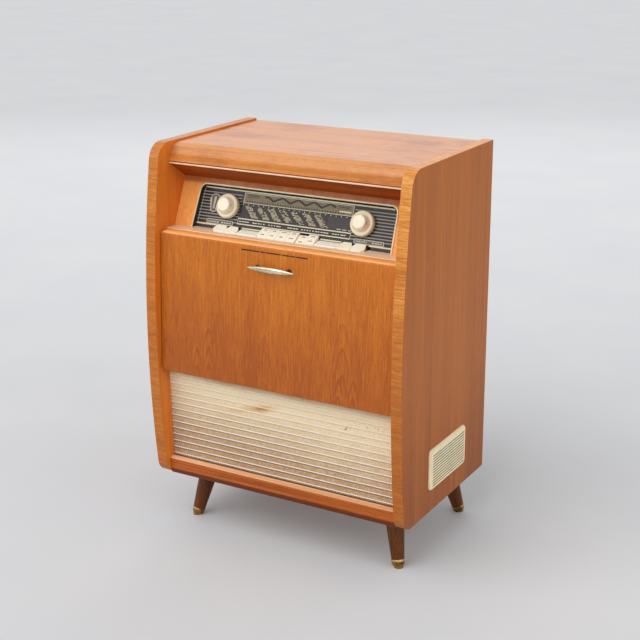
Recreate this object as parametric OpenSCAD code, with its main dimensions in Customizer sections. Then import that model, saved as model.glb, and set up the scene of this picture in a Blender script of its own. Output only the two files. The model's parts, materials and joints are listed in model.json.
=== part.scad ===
// Radio-gramophone cabinet on four splayed legs.
// Origin: centre of the outline on the floor. +Z up, the front faces -Y.

/* [Cabinet] */
// Width over the side panels
body_w = 560; // [540:1:620]
// Depth of the side panels at their widest
body_d = 377; // [370:1:410]
// Height from the floor to the top of the side panels
total_h = 788; // [780:1:840]
// Height of the cabinet's underside above the floor
leg_h = 110; // [90:1:130]
// Thickness of the side panels
panel_t = 22; // [18:0.5:26]
// Radius of the bowed front edge of the side panels
front_r = 2200; // [1800:10:3000]
// Height of the point where the side panels reach furthest forward
front_apex_z = 400; // [370:1:430]
// Radius of the side panels' top front corner
top_corner_r = 36; // [20:1:44]
// Radius of the side panels' bottom front corner
bottom_corner_r = 32; // [20:1:40]
// Thickness of the inner shelves
shelf_t = 12; // [10:0.5:14]
// Section of the square battens
batten = 12; // [10:0.5:14]

/* [Top and lip] */
// How far the top lies below the side panels' edges
top_drop = 4; // [2:0.5:8]
// Thickness of the top
top_t = 18; // [14:0.5:24]
// Radius of the top's rounded front nose
nose_r = 33.5; // [28:0.5:38]
// How far the nose stands back from the side panels' furthest point
nose_setback = 65; // [58:0.5:70]
// Thickness of the board that closes the recess above
ceiling_t = 4; // [3:0.5:6]
// Slope of that board, in degrees
ceiling_slope = 32.4; // [25:0.1:38]
// Thickness of the pale strip along the lip
trim_t = 2; // [1.5:0.1:3]
// Height of that strip
trim_h = 3; // [2:0.5:5]

/* [Dial board and sill] */
// Backward lean of the dial board, in degrees
lean = 24.25; // [20:0.25:28]
// Thickness of the dial board
fascia_t = 8; // [6:0.5:9]
// Distance of the dial board's foot behind the front
fascia_setback = 75; // [70:0.5:80]
// Depth of the sill's upper face below the side panels' highest point
sill_drop = 165; // [160:1:172]
// Distance of the sill's front edge behind the front
sill_setback = 47; // [45:0.5:50]
// Thickness of the sill
sill_t = 12; // [10:0.5:14]
// Half width of the dial opening at its foot
dial_half_w = 218; // [200:1:225]
// Amount by which the dial opening narrows on each side towards its top
dial_taper = 4; // [0:0.5:8]
// Height of the dial opening up the slope
dial_h = 87; // [80:0.5:92]
// Radius of the dial opening's upper corners
dial_corner_r = 14; // [6:1:20]
// Width of the bezel's flange on the dial board
bezel_flange = 1.5; // [1:0.5:5]
// Thickness of the bezel's wall and flange
bezel_t = 1.5; // [1:0.1:2.5]
// Thickness of the dial glass
glass_t = 4; // [3:0.5:5]

/* [Knobs] */
// Distance of each knob from the middle
knob_x = 147; // [135:1:155]
// Height of the knobs up the slope of the dial
knob_s = 48.5; // [44:0.5:54]
// Diameter of the outer knobs
outer_knob_d = 48; // [40:1:54]
// Thickness of the outer knobs
outer_knob_t = 10; // [7:0.5:13]
// Diameter of the inner knobs
inner_knob_d = 32; // [24:1:36]
// Thickness of the inner knobs
inner_knob_t = 14; // [11:0.5:18]
// Diameter of the inner shafts
shaft_d = 6; // [5:0.5:6.5]
// Diameter of the outer, hollow shafts
sleeve_d = 10; // [9.5:0.5:12]

/* [Keys] */
// Number of keys in the middle group
band_keys = 6; // [6]
// Distance from one middle key to the next
key_pitch = 20.7; // [19:0.1:21]
// Gap between neighbouring keys
key_gap = 0.7; // [0.5:0.1:1]
// Height of the keys' front edge above the sill
key_rise = 2; // [1.5:0.5:4]
// Rise of a middle key's top from front to back
key_slope_rise = 12; // [9:0.5:13]
// Inner end of the keys at the sides
wing_x = 110; // [106:1:112]
// Width of each key at the sides
wing_key_w = 27; // [24:0.5:28]
// Rise of a side key's top from front to back
wing_slope_rise = 7.5; // [5:0.5:9]
// Travel of a key, in degrees
key_travel = 3.2; // [2:0.1:3.5]
// Diameter of the shaft that the keys turn on
key_shaft_d = 5; // [4:0.5:6]
// Middle key that is held down at rest, counted from the left
key_down = 5; // [1:1:6]

/* [Flap] */
// Thickness of the flap
flap_t = 20; // [16:0.5:22]
// Height of the flap's lower edge
flap_z = 341; // [338:1:348]
// Gap between the flap's upper edge and the sill behind it
flap_gap_back = 0.884; // [0.5:0.002:2]
// Backward lean of the flap, in degrees
flap_lean = 3.16; // [2.6:0.02:3.4]
// Gap at each end of the flap
flap_gap = 1.7; // [1.5:0.1:3]
// Radius of the flap's upper front edge
flap_edge_r = 9; // [5:0.5:12]
// Radius of the flap's corners, seen from the front
flap_corner_r = 9; // [5:0.5:14]
// Diameter of the flap's pivot pins
pivot_d = 8; // [6:0.5:9]
// Length of the handle
handle_l = 102; // [90:1:130]
// Height of the handle's bar in the middle
handle_h = 11; // [8:0.5:14]
// Depth of the handle's bar in the middle
handle_d = 8; // [6:0.5:9]
// Distance from the flap to the middle of the handle's bar
handle_reach = 12.7; // [11:0.1:13]
// Distance of the handle below the flap's upper edge
handle_drop = 43.5; // [32:0.5:60]
// Length of the dark inlaid line
inlay_l = 143; // [120:1:160]
// Distance of the inlaid line below the flap's upper edge
inlay_drop = 14.5; // [14:0.5:27]
// Distance of the stays' pivots from the flap's pivot
stay_r = 120; // [115:1:125]
// Diameter of the stay rods
stay_d = 5; // [4:0.5:5.5]

/* [Loudspeakers] */
// Diameter of the large loudspeaker's flange
woofer_d = 180; // [150:1:182]
// Depth of the large loudspeaker
woofer_depth = 78; // [60:1:100]
// Thickness of the loudspeaker board
baffle_t = 10; // [8:0.5:14]
// Thickness of the loudspeaker cloth
cloth_t = 2; // [1.5:0.1:3]
// Height of the side grilles' middle
grille_z = 197.5; // [190:0.5:220]
// Length of the side grilles
grille_l = 159; // [155:1:180]
// Height of the side grilles
grille_h = 82.5; // [82:0.5:100]
// Thickness of the side grilles outside the panels
grille_t = 5; // [4:0.5:7]
// Number of slots in each side grille
grille_slots = 12; // [8:1:12]
// Distance from one slot to the next
grille_pitch = 5.6; // [5:0.1:5.8]

/* [Record player] */
// Height of the motor board's upper face
motor_board_z = 424; // [418:1:430]
// Diameter of the turntable
platter_d = 250; // [230:1:252]
// Height of the turntable's rim
platter_h = 10; // [8:0.5:14]
// Diameter of the spindle that records go on
spindle_d = 7.2; // [7:0.05:7.25]
// Height of the spindle above the mat
spindle_h = 16; // [10:1:20]
// Length of the pickup arm from its pivot to the needle
arm_l = 190; // [180:1:195]

/* [Legs] */
// Diameter of a leg at its top
leg_top_d = 41; // [28:1:46]
// Diameter of a leg at its ferrule
leg_foot_d = 25.5; // [18:0.5:28]
// Height of the ferrule
ferrule_h = 16; // [10:1:24]
// Outward splay of each leg along X and along Y
splay = 23; // [10:1:28]
// Distance of the feet's middles inside the side panels' outer faces
foot_inset = 44; // [40:0.2:60]
// Distance of the front feet's middles behind the front
foot_setback = 84.5; // [80:0.5:100]
// Distance of the rear feet's middles before the back
foot_back_gap = 10.5; // [8:0.5:30]

/* [Hidden] */
$fn = 64;

// Clearances
run = 0.05;       // radial, round running fits
slip = 0.3;       // soft or loose pieces
cut = 1;          // overshoot of cutting shapes

// Main planes
front_y = -body_d / 2;
back_y = body_d / 2;
inner_x = body_w / 2 - panel_t;
sill_z = total_h - sill_drop;
top_z = total_h - top_drop;
floor_z = leg_h + shelf_t;            // upper face of the bottom board
back_t = 3.5;
back_panel_y = back_y - 7;            // front face of the back panel
shelf_back_y = back_panel_y - batten; // back edge of the shelves

// Recess
nose_y = front_y + nose_setback;
nose_cy = nose_y + nose_r;
ceiling_front_z = top_z - nose_r - ceiling_t / cos(ceiling_slope) - 0.3 + 0.5;
fascia_y = front_y + fascia_setback;
fascia_z = sill_z + 1;
sill_front_y = front_y + sill_setback;
sill_back_y = fascia_y + fascia_t / cos(lean) + 1;

// Radio
shelf_gap = 11;                       // between the radio shelf and the sill
radio_shelf_z = sill_z - sill_t - shelf_gap;
glass_y = fascia_t + 0.2;             // the glass's front face behind the dial board's
frame_y = glass_y + glass_t + 4;      // the control frame's plate
frame_t = 1.5;
bush_end = frame_y + 15;
pot_d = 28;
pot_l = 18;

// Keys
key_front_y = fascia_y - 10.5;
key_back_gap = 2;                     // from the key to the glass
key_pivot_y = key_front_y + 79;
key_pivot_z = sill_z - 3;
key_skirt = 8;                        // depth of a key's front below the sill's face
key_arm = 8;
band_half = band_keys * key_pitch / 2;
wing_end = wing_x + 2 * wing_key_w + key_gap;
notch_gap = 0.6;

// Flap, in its own frame: origin at the lower front edge, +Z up the flap
flap_l = (sill_z - 0.4 - flap_z) / cos(flap_lean);
flap_y = sill_front_y - flap_gap_back - flap_t * cos(flap_lean) - flap_l * sin(flap_lean);
handle_s = flap_l - handle_drop;
inlay_s = flap_l - inlay_drop;
flap_half = inner_x - flap_gap;
pivot_in = flap_t / 2;
pivot_up = 11;
pivot_y = flap_y + pivot_in * cos(flap_lean) + pivot_up * sin(flap_lean);
pivot_z = flap_z + pivot_up * cos(flap_lean) - pivot_in * sin(flap_lean);
pin_in_flap = 16;
pin_in_panel = 10;
bush_d = 14;
bush_l = 12;

// Stays: the rod turns on the flap at stay_q and slides through a swivel at
// stay_p; both are stay_r from the flap's pivot, so the rod turns half as far
// as the flap does.
stay_x = inner_x - 8;
stay_off = 18;                        // of the rod's pivot behind the flap's middle
stay_up = sqrt(stay_r * stay_r - stay_off * stay_off);
stay_q_angle = 90 - flap_lean - atan(stay_off / stay_up);
stay_p_angle = 45;
flap_open = 90 + flap_lean;
stay_q = [pivot_y + stay_r * cos(stay_q_angle), pivot_z + stay_r * sin(stay_q_angle)];
stay_p = [pivot_y + stay_r * cos(stay_p_angle), pivot_z + stay_r * sin(stay_p_angle)];
stay_angle = (stay_q_angle + stay_p_angle) / 2 - 90;
swivel_l = 14;
collar_l = 4;
stay_reach = 2 * stay_r * sin((stay_q_angle + flap_open - stay_p_angle) / 2);
stay_l = stay_reach + swivel_l / 2 + 1 + collar_l;

// Loudspeakers
cloth_bottom = [front_y + 42, 151];   // y and z of the cloth's visible foot
cloth_lean = -1.975;
cloth_top = (flap_z + 1.9 - cloth_bottom[1]) / cos(cloth_lean); // up the board from cloth_bottom
woofer_s = 80;
woofer_hole_d = woofer_d - 22;
grille_y = 8;
grille_corner_r = 9;
grille_slot_l = 142;
grille_slot_h = 2.2;
slots_y = grille_y + 2.5;             // the slots' middle, nearer the back than the grille's
slots_z = grille_z - 3.5;             // and lower
slots_h = grille_slots * grille_pitch;
side_speaker_d = 92;

// Record player
deck_gap = 10;
deck_z = motor_board_z + deck_gap;    // underside of the deck plate
deck_t = 3;
deck_x0 = -178;
deck_x1 = 165;
deck_y0 = -124;
deck_y1 = 150;
spindle_x = -45;
spindle_y = 8;
platter_z = deck_z + deck_t + 4;
mat_t = 3;
hub_d = 14;
arm_x = 125;
arm_y = 78;
arm_z = platter_z + platter_h + mat_t + 8;   // underside of the pickup arm
arm_boss_z = deck_z + deck_t + 5;
arm_pin_d = 10;
arm_axle = [0, arm_z + 5];            // y from arm_y, and z
arm_axle_d = 4;
speed_x = -140;
speed_y = -100;
motor_side = inner_x - 15;            // half width of the motor board

// Legs
foot_x = body_w / 2 - foot_inset;
foot_front_y = front_y + foot_setback;
foot_back_y = back_y - foot_back_gap;
plate_t = 3;

// Colours
golden = "#b9702c";
russet = "#9c5a33";
dark_wood = "#4c2a14";
cream = "#e6dcc0";
steel = "#9aa0a6";
brass = "#b8944e";

// ---------- helpers ----------

function unit(v) = v / norm(v);

// Points of corner b between a and c, rounded to radius r in n steps
function corner(a, b, c, r, n) =
    r == 0 ? [b] :
    let (u = unit(a - b), v = unit(c - b))
    let (half = acos(u * v) / 2, mid = b + unit(u + v) * r / sin(half))
    let (s = b + u * r / tan(half), e = b + v * r / tan(half))
    let (a0 = atan2(s[1] - mid[1], s[0] - mid[0]), a1 = atan2(e[1] - mid[1], e[0] - mid[0]))
    let (turn = (a1 - a0 + 900) % 360 - 180)
    [for (i = [0:n]) mid + r * [cos(a0 + turn * i / n), sin(a0 + turn * i / n)]];

// A polygon's points with a radius for each corner
function rounded(pts, radii, n = 6) = [
    for (i = [0:len(pts) - 1])
        each corner(pts[(i + len(pts) - 1) % len(pts)], pts[i], pts[(i + 1) % len(pts)],
            radii[i], n)
];

function rect(w, h, r) =
    rounded([[-w / 2, -h / 2], [w / 2, -h / 2], [w / 2, h / 2], [-w / 2, h / 2]], [r, r, r, r]);

// Extrudes a (y, z) outline along X from x0 to x1
module along_x(x0, x1) {
    translate([x0, 0, 0]) rotate([90, 0, 90]) linear_extrude(height = x1 - x0) children();
}

// Extrudes an (x, z) outline along +Y from y0 to y1
module along_y(y0, y1) {
    translate([0, y1, 0]) rotate([90, 0, 0]) linear_extrude(height = y1 - y0) children();
}

// A box from its lowest to its highest corner
module box(a, b) {
    translate(a) cube(b - a);
}

module rod_x(x0, x1, y, z, d) {
    translate([x0, y, z]) rotate([0, 90, 0]) cylinder(h = x1 - x0, d = d);
}

// A rod along the local depth, from y0 to y1
module rod_y(y0, y1, x, z, d) {
    translate([x, y0, z]) rotate([-90, 0, 0]) cylinder(h = y1 - y0, d = d);
}

module both_sides() {
    children();
    mirror([1, 0, 0]) children();
}

// The dial board's frame: y into the cabinet, z up the slope
module on_dial() {
    translate([0, fascia_y, fascia_z]) rotate([-lean, 0, 0]) children();
}

// The flap's frame
module on_flap() {
    translate([0, flap_y, flap_z]) rotate([-flap_lean, 0, 0]) children();
}

// The loudspeaker board's frame
module on_baffle() {
    translate([0, cloth_bottom[0], cloth_bottom[1]]) rotate([-cloth_lean, 0, 0]) children();
}

// ---------- carcass ----------

// Waste outside a corner of radius r about c, between two directions
module corner_waste(c, r, toward, far) {
    difference() {
        polygon([c, c + toward * (r + 30), far, [c[0], far[1]]]);
        translate(c) circle(r = r, $fn = 96);
    }
}

module side_profile() {
    arc_y = front_y + front_r;
    top_c = [arc_y - sqrt(pow(front_r - top_corner_r, 2)
        - pow(total_h - top_corner_r - front_apex_z, 2)), total_h - top_corner_r];
    low_c = [arc_y - sqrt(pow(front_r - bottom_corner_r, 2)
        - pow(leg_h + bottom_corner_r - front_apex_z, 2)), leg_h + bottom_corner_r];
    arc_c = [arc_y, front_apex_z];
    difference() {
        intersection() {
            translate(arc_c) circle(r = front_r, $fn = 360);
            translate([front_y - cut, leg_h]) square([body_d + cut, total_h - leg_h]);
        }
        corner_waste(top_c, top_corner_r, unit(top_c - arc_c), [front_y - 60, total_h + 20]);
        corner_waste(low_c, bottom_corner_r, unit(low_c - arc_c), [front_y - 60, leg_h - 20]);
    }
}

module side_panel() {
    difference() {
        along_x(inner_x, inner_x + panel_t) side_profile();
        rod_x(inner_x - cut, inner_x + bush_l, pivot_y, pivot_z, bush_d);
        translate([0, slots_y, slots_z])
            box([inner_x - cut, -grille_slot_l / 2 + 3, -slots_h / 2 + 1.5],
                [inner_x + panel_t + cut, grille_slot_l / 2 - 3, slots_h / 2 - 1.5]);
    }
}

module side_panel_left() {
    color(russet) mirror([1, 0, 0]) side_panel();
}

module side_panel_right() {
    color(russet) side_panel();
}

// Height of the recess board's lower face at a depth y
function ceiling_low(y) = ceiling_front_z - (y - nose_y) * tan(ceiling_slope);
ceiling_rise = ceiling_t / cos(ceiling_slope);
// Where a line parallel to that board, raised by dz, meets the dial board's face
function ceiling_end(dz) =
    let (m = tan(ceiling_slope), k = tan(lean))
    let (z = (ceiling_front_z + dz - m * (fascia_y - k * fascia_z - nose_y)) / (1 + m * k))
    [fascia_y + k * (z - fascia_z), z];

module top_panel() {
    nose_back = nose_cy + 12;
    color(golden) along_x(-inner_x, inner_x) difference() {
        union() {
            translate([nose_cy, top_z - nose_r]) circle(r = nose_r, $fn = 120);
            translate([nose_cy, top_z - top_t]) square([back_y - nose_cy, top_t]);
        }
        polygon([[nose_y - 9, ceiling_low(nose_y - 9) + ceiling_rise],
            [nose_back + 60, ceiling_low(nose_back + 60) + ceiling_rise],
            [nose_back + 60, 500], [nose_y - 9, 500]]);
        translate([nose_back, top_z - top_t - 90]) square([90, 90]);
    }
}

module lip_trim() {
    color(cream) box([-inner_x + slip, nose_y - trim_t, ceiling_front_z],
        [inner_x - slip, nose_y, ceiling_front_z + trim_h]);
}

module recess_ceiling() {
    color(dark_wood) along_x(-inner_x, inner_x) polygon([
        [nose_y, ceiling_front_z], [nose_y, ceiling_front_z + ceiling_rise],
        ceiling_end(ceiling_rise), ceiling_end(0)]);
}

// The dial opening's outline, grown by g, open past the foot
function dial_outline(g) = rounded([
        [-dial_half_w - g, -20], [dial_half_w + g, -20],
        [dial_half_w - dial_taper + g, dial_h + g], [-dial_half_w + dial_taper - g, dial_h + g]],
    [0, 0, dial_corner_r + g, dial_corner_r + g], 8);

module above_sill() {
    intersection() {
        children();
        box([-body_w, -body_d, sill_z], [body_w, body_d, total_h]);
    }
}

module dial_fascia() {
    fascia_top = (ceiling_end(0)[1] - fascia_z) / cos(lean) + 9;
    color(golden) above_sill() on_dial() difference() {
        box([-inner_x, 0, -8], [inner_x, fascia_t, fascia_top]);
        along_y(-cut, fascia_t + cut) polygon(dial_outline(0));
    }
}

module sill_board() {
    color(golden) difference() {
        box([-inner_x, sill_front_y, sill_z - sill_t], [inner_x, sill_back_y, sill_z]);
        box([-band_half - notch_gap, key_front_y - 1.3, 0],
            [band_half + notch_gap, sill_back_y + cut, total_h]);
        both_sides() box([wing_x - notch_gap, key_front_y - 1.3, 0],
            [wing_end + notch_gap, sill_back_y + cut, total_h]);
    }
}

module radio_shelf() {
    color(golden) box([-inner_x, sill_front_y + 3.5, radio_shelf_z - shelf_t],
        [inner_x, shelf_back_y, radio_shelf_z]);
}

module motor_board() {
    color(golden) difference() {
        box([-motor_side, front_y + 58.5, motor_board_z - shelf_t],
            [motor_side, shelf_back_y - 7, motor_board_z]);
        box([deck_x0 + 40, deck_y0 + 45, motor_board_z - shelf_t - cut],
            [deck_x1 - 40, deck_y1 - 45, motor_board_z + cut]);
    }
}

compartment_floor_z = flap_z - 5;
screw_x = inner_x - batten / 2;
screw_z = [for (i = [0:4]) floor_z + 38 + i * (radio_shelf_z - floor_z + 60) / 4];

module screw_holes(d) {
    both_sides() for (z = screw_z) rod_y(shelf_back_y + 3, back_y + cut, screw_x, z, d);
}

module shelf_rails() {
    board_under = motor_board_z - shelf_t;
    color(golden) {
        // under the radio shelf and the compartment floor, along the sides
        both_sides() {
            box([inner_x - batten, front_y + 60, radio_shelf_z - shelf_t - batten],
                [inner_x, shelf_back_y, radio_shelf_z - shelf_t]);
            box([inner_x - batten, front_y + 60, compartment_floor_z - shelf_t - batten],
                [inner_x, shelf_back_y, compartment_floor_z - shelf_t]);
        }
        // upright battens that the back panel is screwed to
        difference() {
            both_sides() box([inner_x - batten, shelf_back_y, floor_z],
                [inner_x, back_panel_y, top_z - top_t]);
            screw_holes(3);
        }
        // front and back rails under the motor board
        box([-inner_x, front_y + 58.5, compartment_floor_z],
            [inner_x, front_y + 58.5 + batten, board_under]);
        box([-inner_x, shelf_back_y - 7 - batten, compartment_floor_z],
            [inner_x, shelf_back_y - 7, board_under]);
    }
}

module compartment_floor() {
    color(golden) box([-inner_x, front_y + 50.5, compartment_floor_z - shelf_t],
        [inner_x, shelf_back_y, compartment_floor_z]);
}

rail_back_y = front_y + 38.6;

module bottom_board() {
    color(russet) box([-inner_x, rail_back_y, leg_h], [inner_x, shelf_back_y, floor_z]);
}

module bottom_rail() {
    top_back = [rail_back_y, leg_h + 38.4];
    top_front = [rail_back_y - 12.3, leg_h + 34.9];
    low_front = [rail_back_y - 7.3, leg_h];
    color(golden) along_x(-inner_x, inner_x) polygon(rounded(
        [[rail_back_y, leg_h], top_back, top_front, low_front], [0, 1, 2, 6]));
}

// ---------- loudspeakers ----------

module speaker_baffle() {
    foot = -(cloth_bottom[1] - floor_z) / cos(cloth_lean);
    color("#6b5a45") difference() {
        intersection() {
            on_baffle() box([-inner_x, cloth_t + slip, foot - 4],
                [inner_x, cloth_t + slip + baffle_t, cloth_top]);
            box([-body_w, -body_d, floor_z], [body_w, body_d, total_h]);
        }
        on_baffle() rod_y(-cut, cloth_t + baffle_t + 2, 0, woofer_s, woofer_hole_d);
    }
}

module speaker_cloth() {
    color("#d9cfae") on_baffle()
        box([-inner_x + slip, 0, -4], [inner_x - slip, cloth_t, cloth_top]);
}

// A loudspeaker of flange diameter d and depth l, about the local +Y axis
module speaker(d, l) {
    magnet_d = d * 0.4;
    rotate([-90, 0, 0]) rotate_extrude($fn = 96) polygon([
        [0, l - 26], [d / 2 - 16, 3], [d / 2 - 12, 0], [d / 2, 0], [d / 2, 3],
        [d / 2 - 9, 5], [magnet_d / 2, l - 26], [magnet_d / 2, l], [0, l]]);
}

module woofer() {
    color(steel) on_baffle() translate([0, cloth_t + slip + baffle_t, woofer_s])
        speaker(woofer_d, woofer_depth);
}

module side_speakers() {
    color(steel) both_sides() translate([inner_x, slots_y, slots_z]) rotate([0, 0, 90])
        speaker(side_speaker_d, 42);
}

module side_grille() {
    layers = [[0, 0, 2.2], [1.2, 2.2, 3.7], [3, 3.7, grille_t]];
    color(cream) translate([inner_x + panel_t, 0, 0]) difference() {
        for (layer = layers)
            along_x(layer[1], layer[2]) translate([grille_y, grille_z])
                polygon(rect(grille_l - 2 * layer[0], grille_h - 2 * layer[0],
                    grille_corner_r - layer[0]));
        translate([0, slots_y, slots_z]) {
            for (i = [0:grille_slots - 1])
                translate([0, 0, (i - (grille_slots - 1) / 2) * grille_pitch])
                    box([-cut, -grille_slot_l / 2, -grille_slot_h / 2],
                        [grille_t + cut, grille_slot_l / 2, grille_slot_h / 2]);
            box([grille_t - 0.8, -grille_slot_l / 2 - 1, -slots_h / 2],
                [grille_t + cut, grille_slot_l / 2 + 1, slots_h / 2]);
        }
    }
}

module side_grilles() {
    both_sides() side_grille();
}

// ---------- back ----------

module back_panel() {
    vents = 15;
    vent_pitch = 30;
    color("#7a5a3c") difference() {
        box([-inner_x + slip, back_panel_y, floor_z + slip],
            [inner_x - slip, back_panel_y + back_t, top_z - top_t - slip]);
        for (row = [0:3], i = [0:vents - 1])
            rod_y(back_panel_y - cut, back_y, (i - (vents - 1) / 2) * vent_pitch,
                radio_shelf_z + 50 + row * 26, 9);
        for (row = [0:4], i = [0:vents - 1])
            rod_y(back_panel_y - cut, back_y, (i - (vents - 1) / 2) * vent_pitch,
                floor_z + 62 + row * 26, 9);
        box([inlet_x - 31, back_panel_y - cut, inlet_z - 13],
            [inlet_x + 31, back_y, inlet_z + 13]);
        screw_holes(3.2);
    }
}

module back_screws() {
    color(brass) both_sides() for (z = screw_z) {
        rod_y(shelf_back_y + 3, back_panel_y + back_t, screw_x, z, 3);
        rod_y(back_panel_y + back_t, back_panel_y + back_t + 2, screw_x, z, 7);
    }
}

inlet_x = -150;
inlet_z = radio_shelf_z + 20;

module mains_inlet() {
    color("#2b2622") difference() {
        union() {
            box([inlet_x - 30, chassis_y1, inlet_z - 12], [inlet_x + 30, back_panel_y + 3, inlet_z + 12]);
        }
        for (x = [-20, -10]) rod_y(back_panel_y - 9, back_y, inlet_x + x, inlet_z, 4);
        for (x = [6, 14, 22]) rod_y(back_panel_y - 9, back_y, inlet_x + x, inlet_z, 3);
    }
}

// ---------- legs ----------

// Places a leg's own frame: origin at the foot's middle, +Z up the leg
module at_leg(x, y, out_y) {
    tilt = atan(splay * sqrt(2) / leg_h);
    translate([x, y, 0]) rotate([0, 0, out_y > 0 ? 45 : -45]) rotate([0, -tilt, 0]) children();
}

module each_leg() {
    both_sides() {
        at_leg(foot_x, foot_front_y, -1) children();
        at_leg(foot_x, foot_back_y, 1) children();
    }
}

module between(z0, z1) {
    intersection() {
        children();
        box([-body_w, -body_d, z0], [body_w, body_d, z1]);
    }
}

module legs() {
    leg_long = leg_h + 20;
    color(dark_wood) between(0, leg_h - plate_t) each_leg()
        translate([0, 0, ferrule_h])
            cylinder(h = leg_long, d1 = leg_foot_d, d2 = leg_top_d + (leg_top_d - leg_foot_d) * 0.3);
}

module leg_fittings() {
    color(brass) {
        between(0, ferrule_h + 12) each_leg() rotate_extrude()
            polygon([[0, -12], [leg_foot_d / 2 - 4.5, -12], [leg_foot_d / 2 - 3.5, 1.5],
                [leg_foot_d / 2 - 1.2, 5], [leg_foot_d / 2 + 0.6, ferrule_h - 3],
                [leg_foot_d / 2 + 0.6, ferrule_h], [0, ferrule_h]]);
        top_x = foot_x - splay;
        both_sides() for (y = [foot_front_y + splay, foot_back_y - splay])
            box([top_x - 32, y - 32, leg_h - plate_t], [top_x + 32, min(y + 32, shelf_back_y), leg_h]);
    }
}

// ---------- flap ----------

module flap_door() {
    color(golden) difference() {
        on_flap() intersection() {
            along_x(-flap_half, flap_half) polygon(rounded(
                [[0, 0], [flap_t, 0], [flap_t, flap_l], [0, flap_l]], [3, 3, 2, flap_edge_r]));
            along_y(-cut, flap_t + cut) translate([0, flap_l / 2])
                polygon(rect(2 * flap_half, flap_l, flap_corner_r));
        }
        both_sides() rod_x(flap_half - pin_in_flap, flap_half + cut, pivot_y, pivot_z, pivot_d);
        on_flap() inlay_bar(cut);
    }
}

module inlay_bar(front) {
    inlay_h = 2.6;
    box([1 - inlay_l / 2, -front, inlay_s - inlay_h / 2], [1 + inlay_l / 2, 1.2, inlay_s + inlay_h / 2]);
}

module flap_inlay() {
    color("#33241a") on_flap() inlay_bar(0);
}

// The outline shared by two arcs that meet at points half_l from the middle
module lens(half_l, half_h) {
    r = (half_l * half_l + half_h * half_h) / (2 * half_h);
    intersection() {
        translate([0, r - half_h]) circle(r = r, $fn = 720);
        translate([0, half_h - r]) circle(r = r, $fn = 720);
    }
}

module flap_handle() {
    post_x = handle_l / 3;
    color("#cfc7ae") on_flap() translate([1, 0, handle_s]) {
        translate([0, -handle_reach, 0]) intersection() {
            along_y(-handle_d, handle_d) lens(handle_l / 2, handle_h / 2);
            translate([0, 0, -handle_h]) linear_extrude(height = 2 * handle_h)
                lens(handle_l / 2, handle_d / 2);
        }
        for (x = [-post_x, post_x]) {
            rod_y(-handle_reach, 0, x, 0, 4);
            rod_y(-1.2, 0, x, 0, 10);
        }
    }
}

module stay_lug() {
    pin_x = stay_x - 4.5;
    q = [pivot_in + stay_off, pivot_up + stay_up];
    on_flap() {
        box([stay_x - 14, flap_t, q[1] - 12], [stay_x + 4, flap_t + 1.5, q[1] + 12]);
        box([stay_x - 6.5, flap_t, q[1] - 6], [pin_x, q[0] + 6, q[1] + 6]);
        rod_x(pin_x, stay_x + 3, q[0], q[1], 4);
    }
}

module flap_fittings() {
    color(brass) {
        both_sides() {
            rod_x(flap_half - pin_in_flap, inner_x + pin_in_panel, pivot_y, pivot_z, pivot_d);
            stay_lug();
        }
        on_flap() box([-20, flap_t, flap_l - 22], [20, flap_t + 1, flap_l - 11]);
    }
}

module flap_bearings() {
    color(brass) both_sides() {
        difference() {
            union() {
                rod_x(inner_x, inner_x + bush_l, pivot_y, pivot_z, bush_d);
                rod_x(inner_x - 1, inner_x, pivot_y, pivot_z, bush_d + 4);
            }
            rod_x(inner_x - 2, inner_x + bush_l - 1.5, pivot_y, pivot_z, pivot_d + 2 * run);
        }
        difference() {
            box([inner_x - 2.4, stay_p[0] - 13, stay_p[1] - 13],
                [inner_x, stay_p[0] + 13, stay_p[1] + 13]);
            rod_x(inner_x - 3, inner_x + cut, stay_p[0], stay_p[1], 6 + 2 * run);
        }
    }
}

module stay_rods() {
    color(steel) both_sides() translate([stay_x, stay_q[0], stay_q[1]])
        rotate([stay_angle, 0, 0]) difference() {
            union() {
                rod_x(-1.8, 1.8, 0, 0, 10);
                rod_y(0, stay_l, 0, 0, stay_d);
                rod_y(stay_l - collar_l, stay_l, 0, 0, stay_d + 3);
            }
            rod_x(-3, 3, 0, 0, 4 + 2 * run);
        }
}

module stay_swivels() {
    color(brass) both_sides() translate([stay_x, stay_p[0], stay_p[1]])
        rotate([stay_angle, 0, 0]) difference() {
            union() {
                box([-5, -swivel_l / 2, -6], [5, swivel_l / 2, 6]);
                rod_x(4, 7.6, 0, 0, 6);
            }
            rod_y(-swivel_l, swivel_l, 0, 0, stay_d + 2 * run);
        }
}

module flap_catch() {
    color(steel) box([-22, sill_front_y + 0.2, radio_shelf_z], [22, sill_front_y + 16, sill_z - sill_t]);
}

// ---------- dial and controls ----------

module key_filler() {
    along_x(band_half + 1, wing_x - 1) polygon(rounded(
        [[key_front_y, sill_z], [fascia_y + 9, sill_z], [fascia_y + 9, sill_z + 5.5],
            [key_front_y, sill_z + key_rise]], [0, 0, 0.6, 0.8]));
}

module dial_bezel() {
    color(cream) {
        above_sill() on_dial() {
            difference() {
                union() {
                    along_y(-bezel_t, 0) polygon(dial_outline(bezel_flange));
                    along_y(-cut / 2, fascia_t) polygon(dial_outline(0));
                }
                along_y(-bezel_t - cut, fascia_t + cut) polygon(dial_outline(-bezel_t));
            }
        }
        both_sides() key_filler();
    }
}

glass_half = dial_half_w + 4;
glass_top = dial_h + 6;

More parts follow.
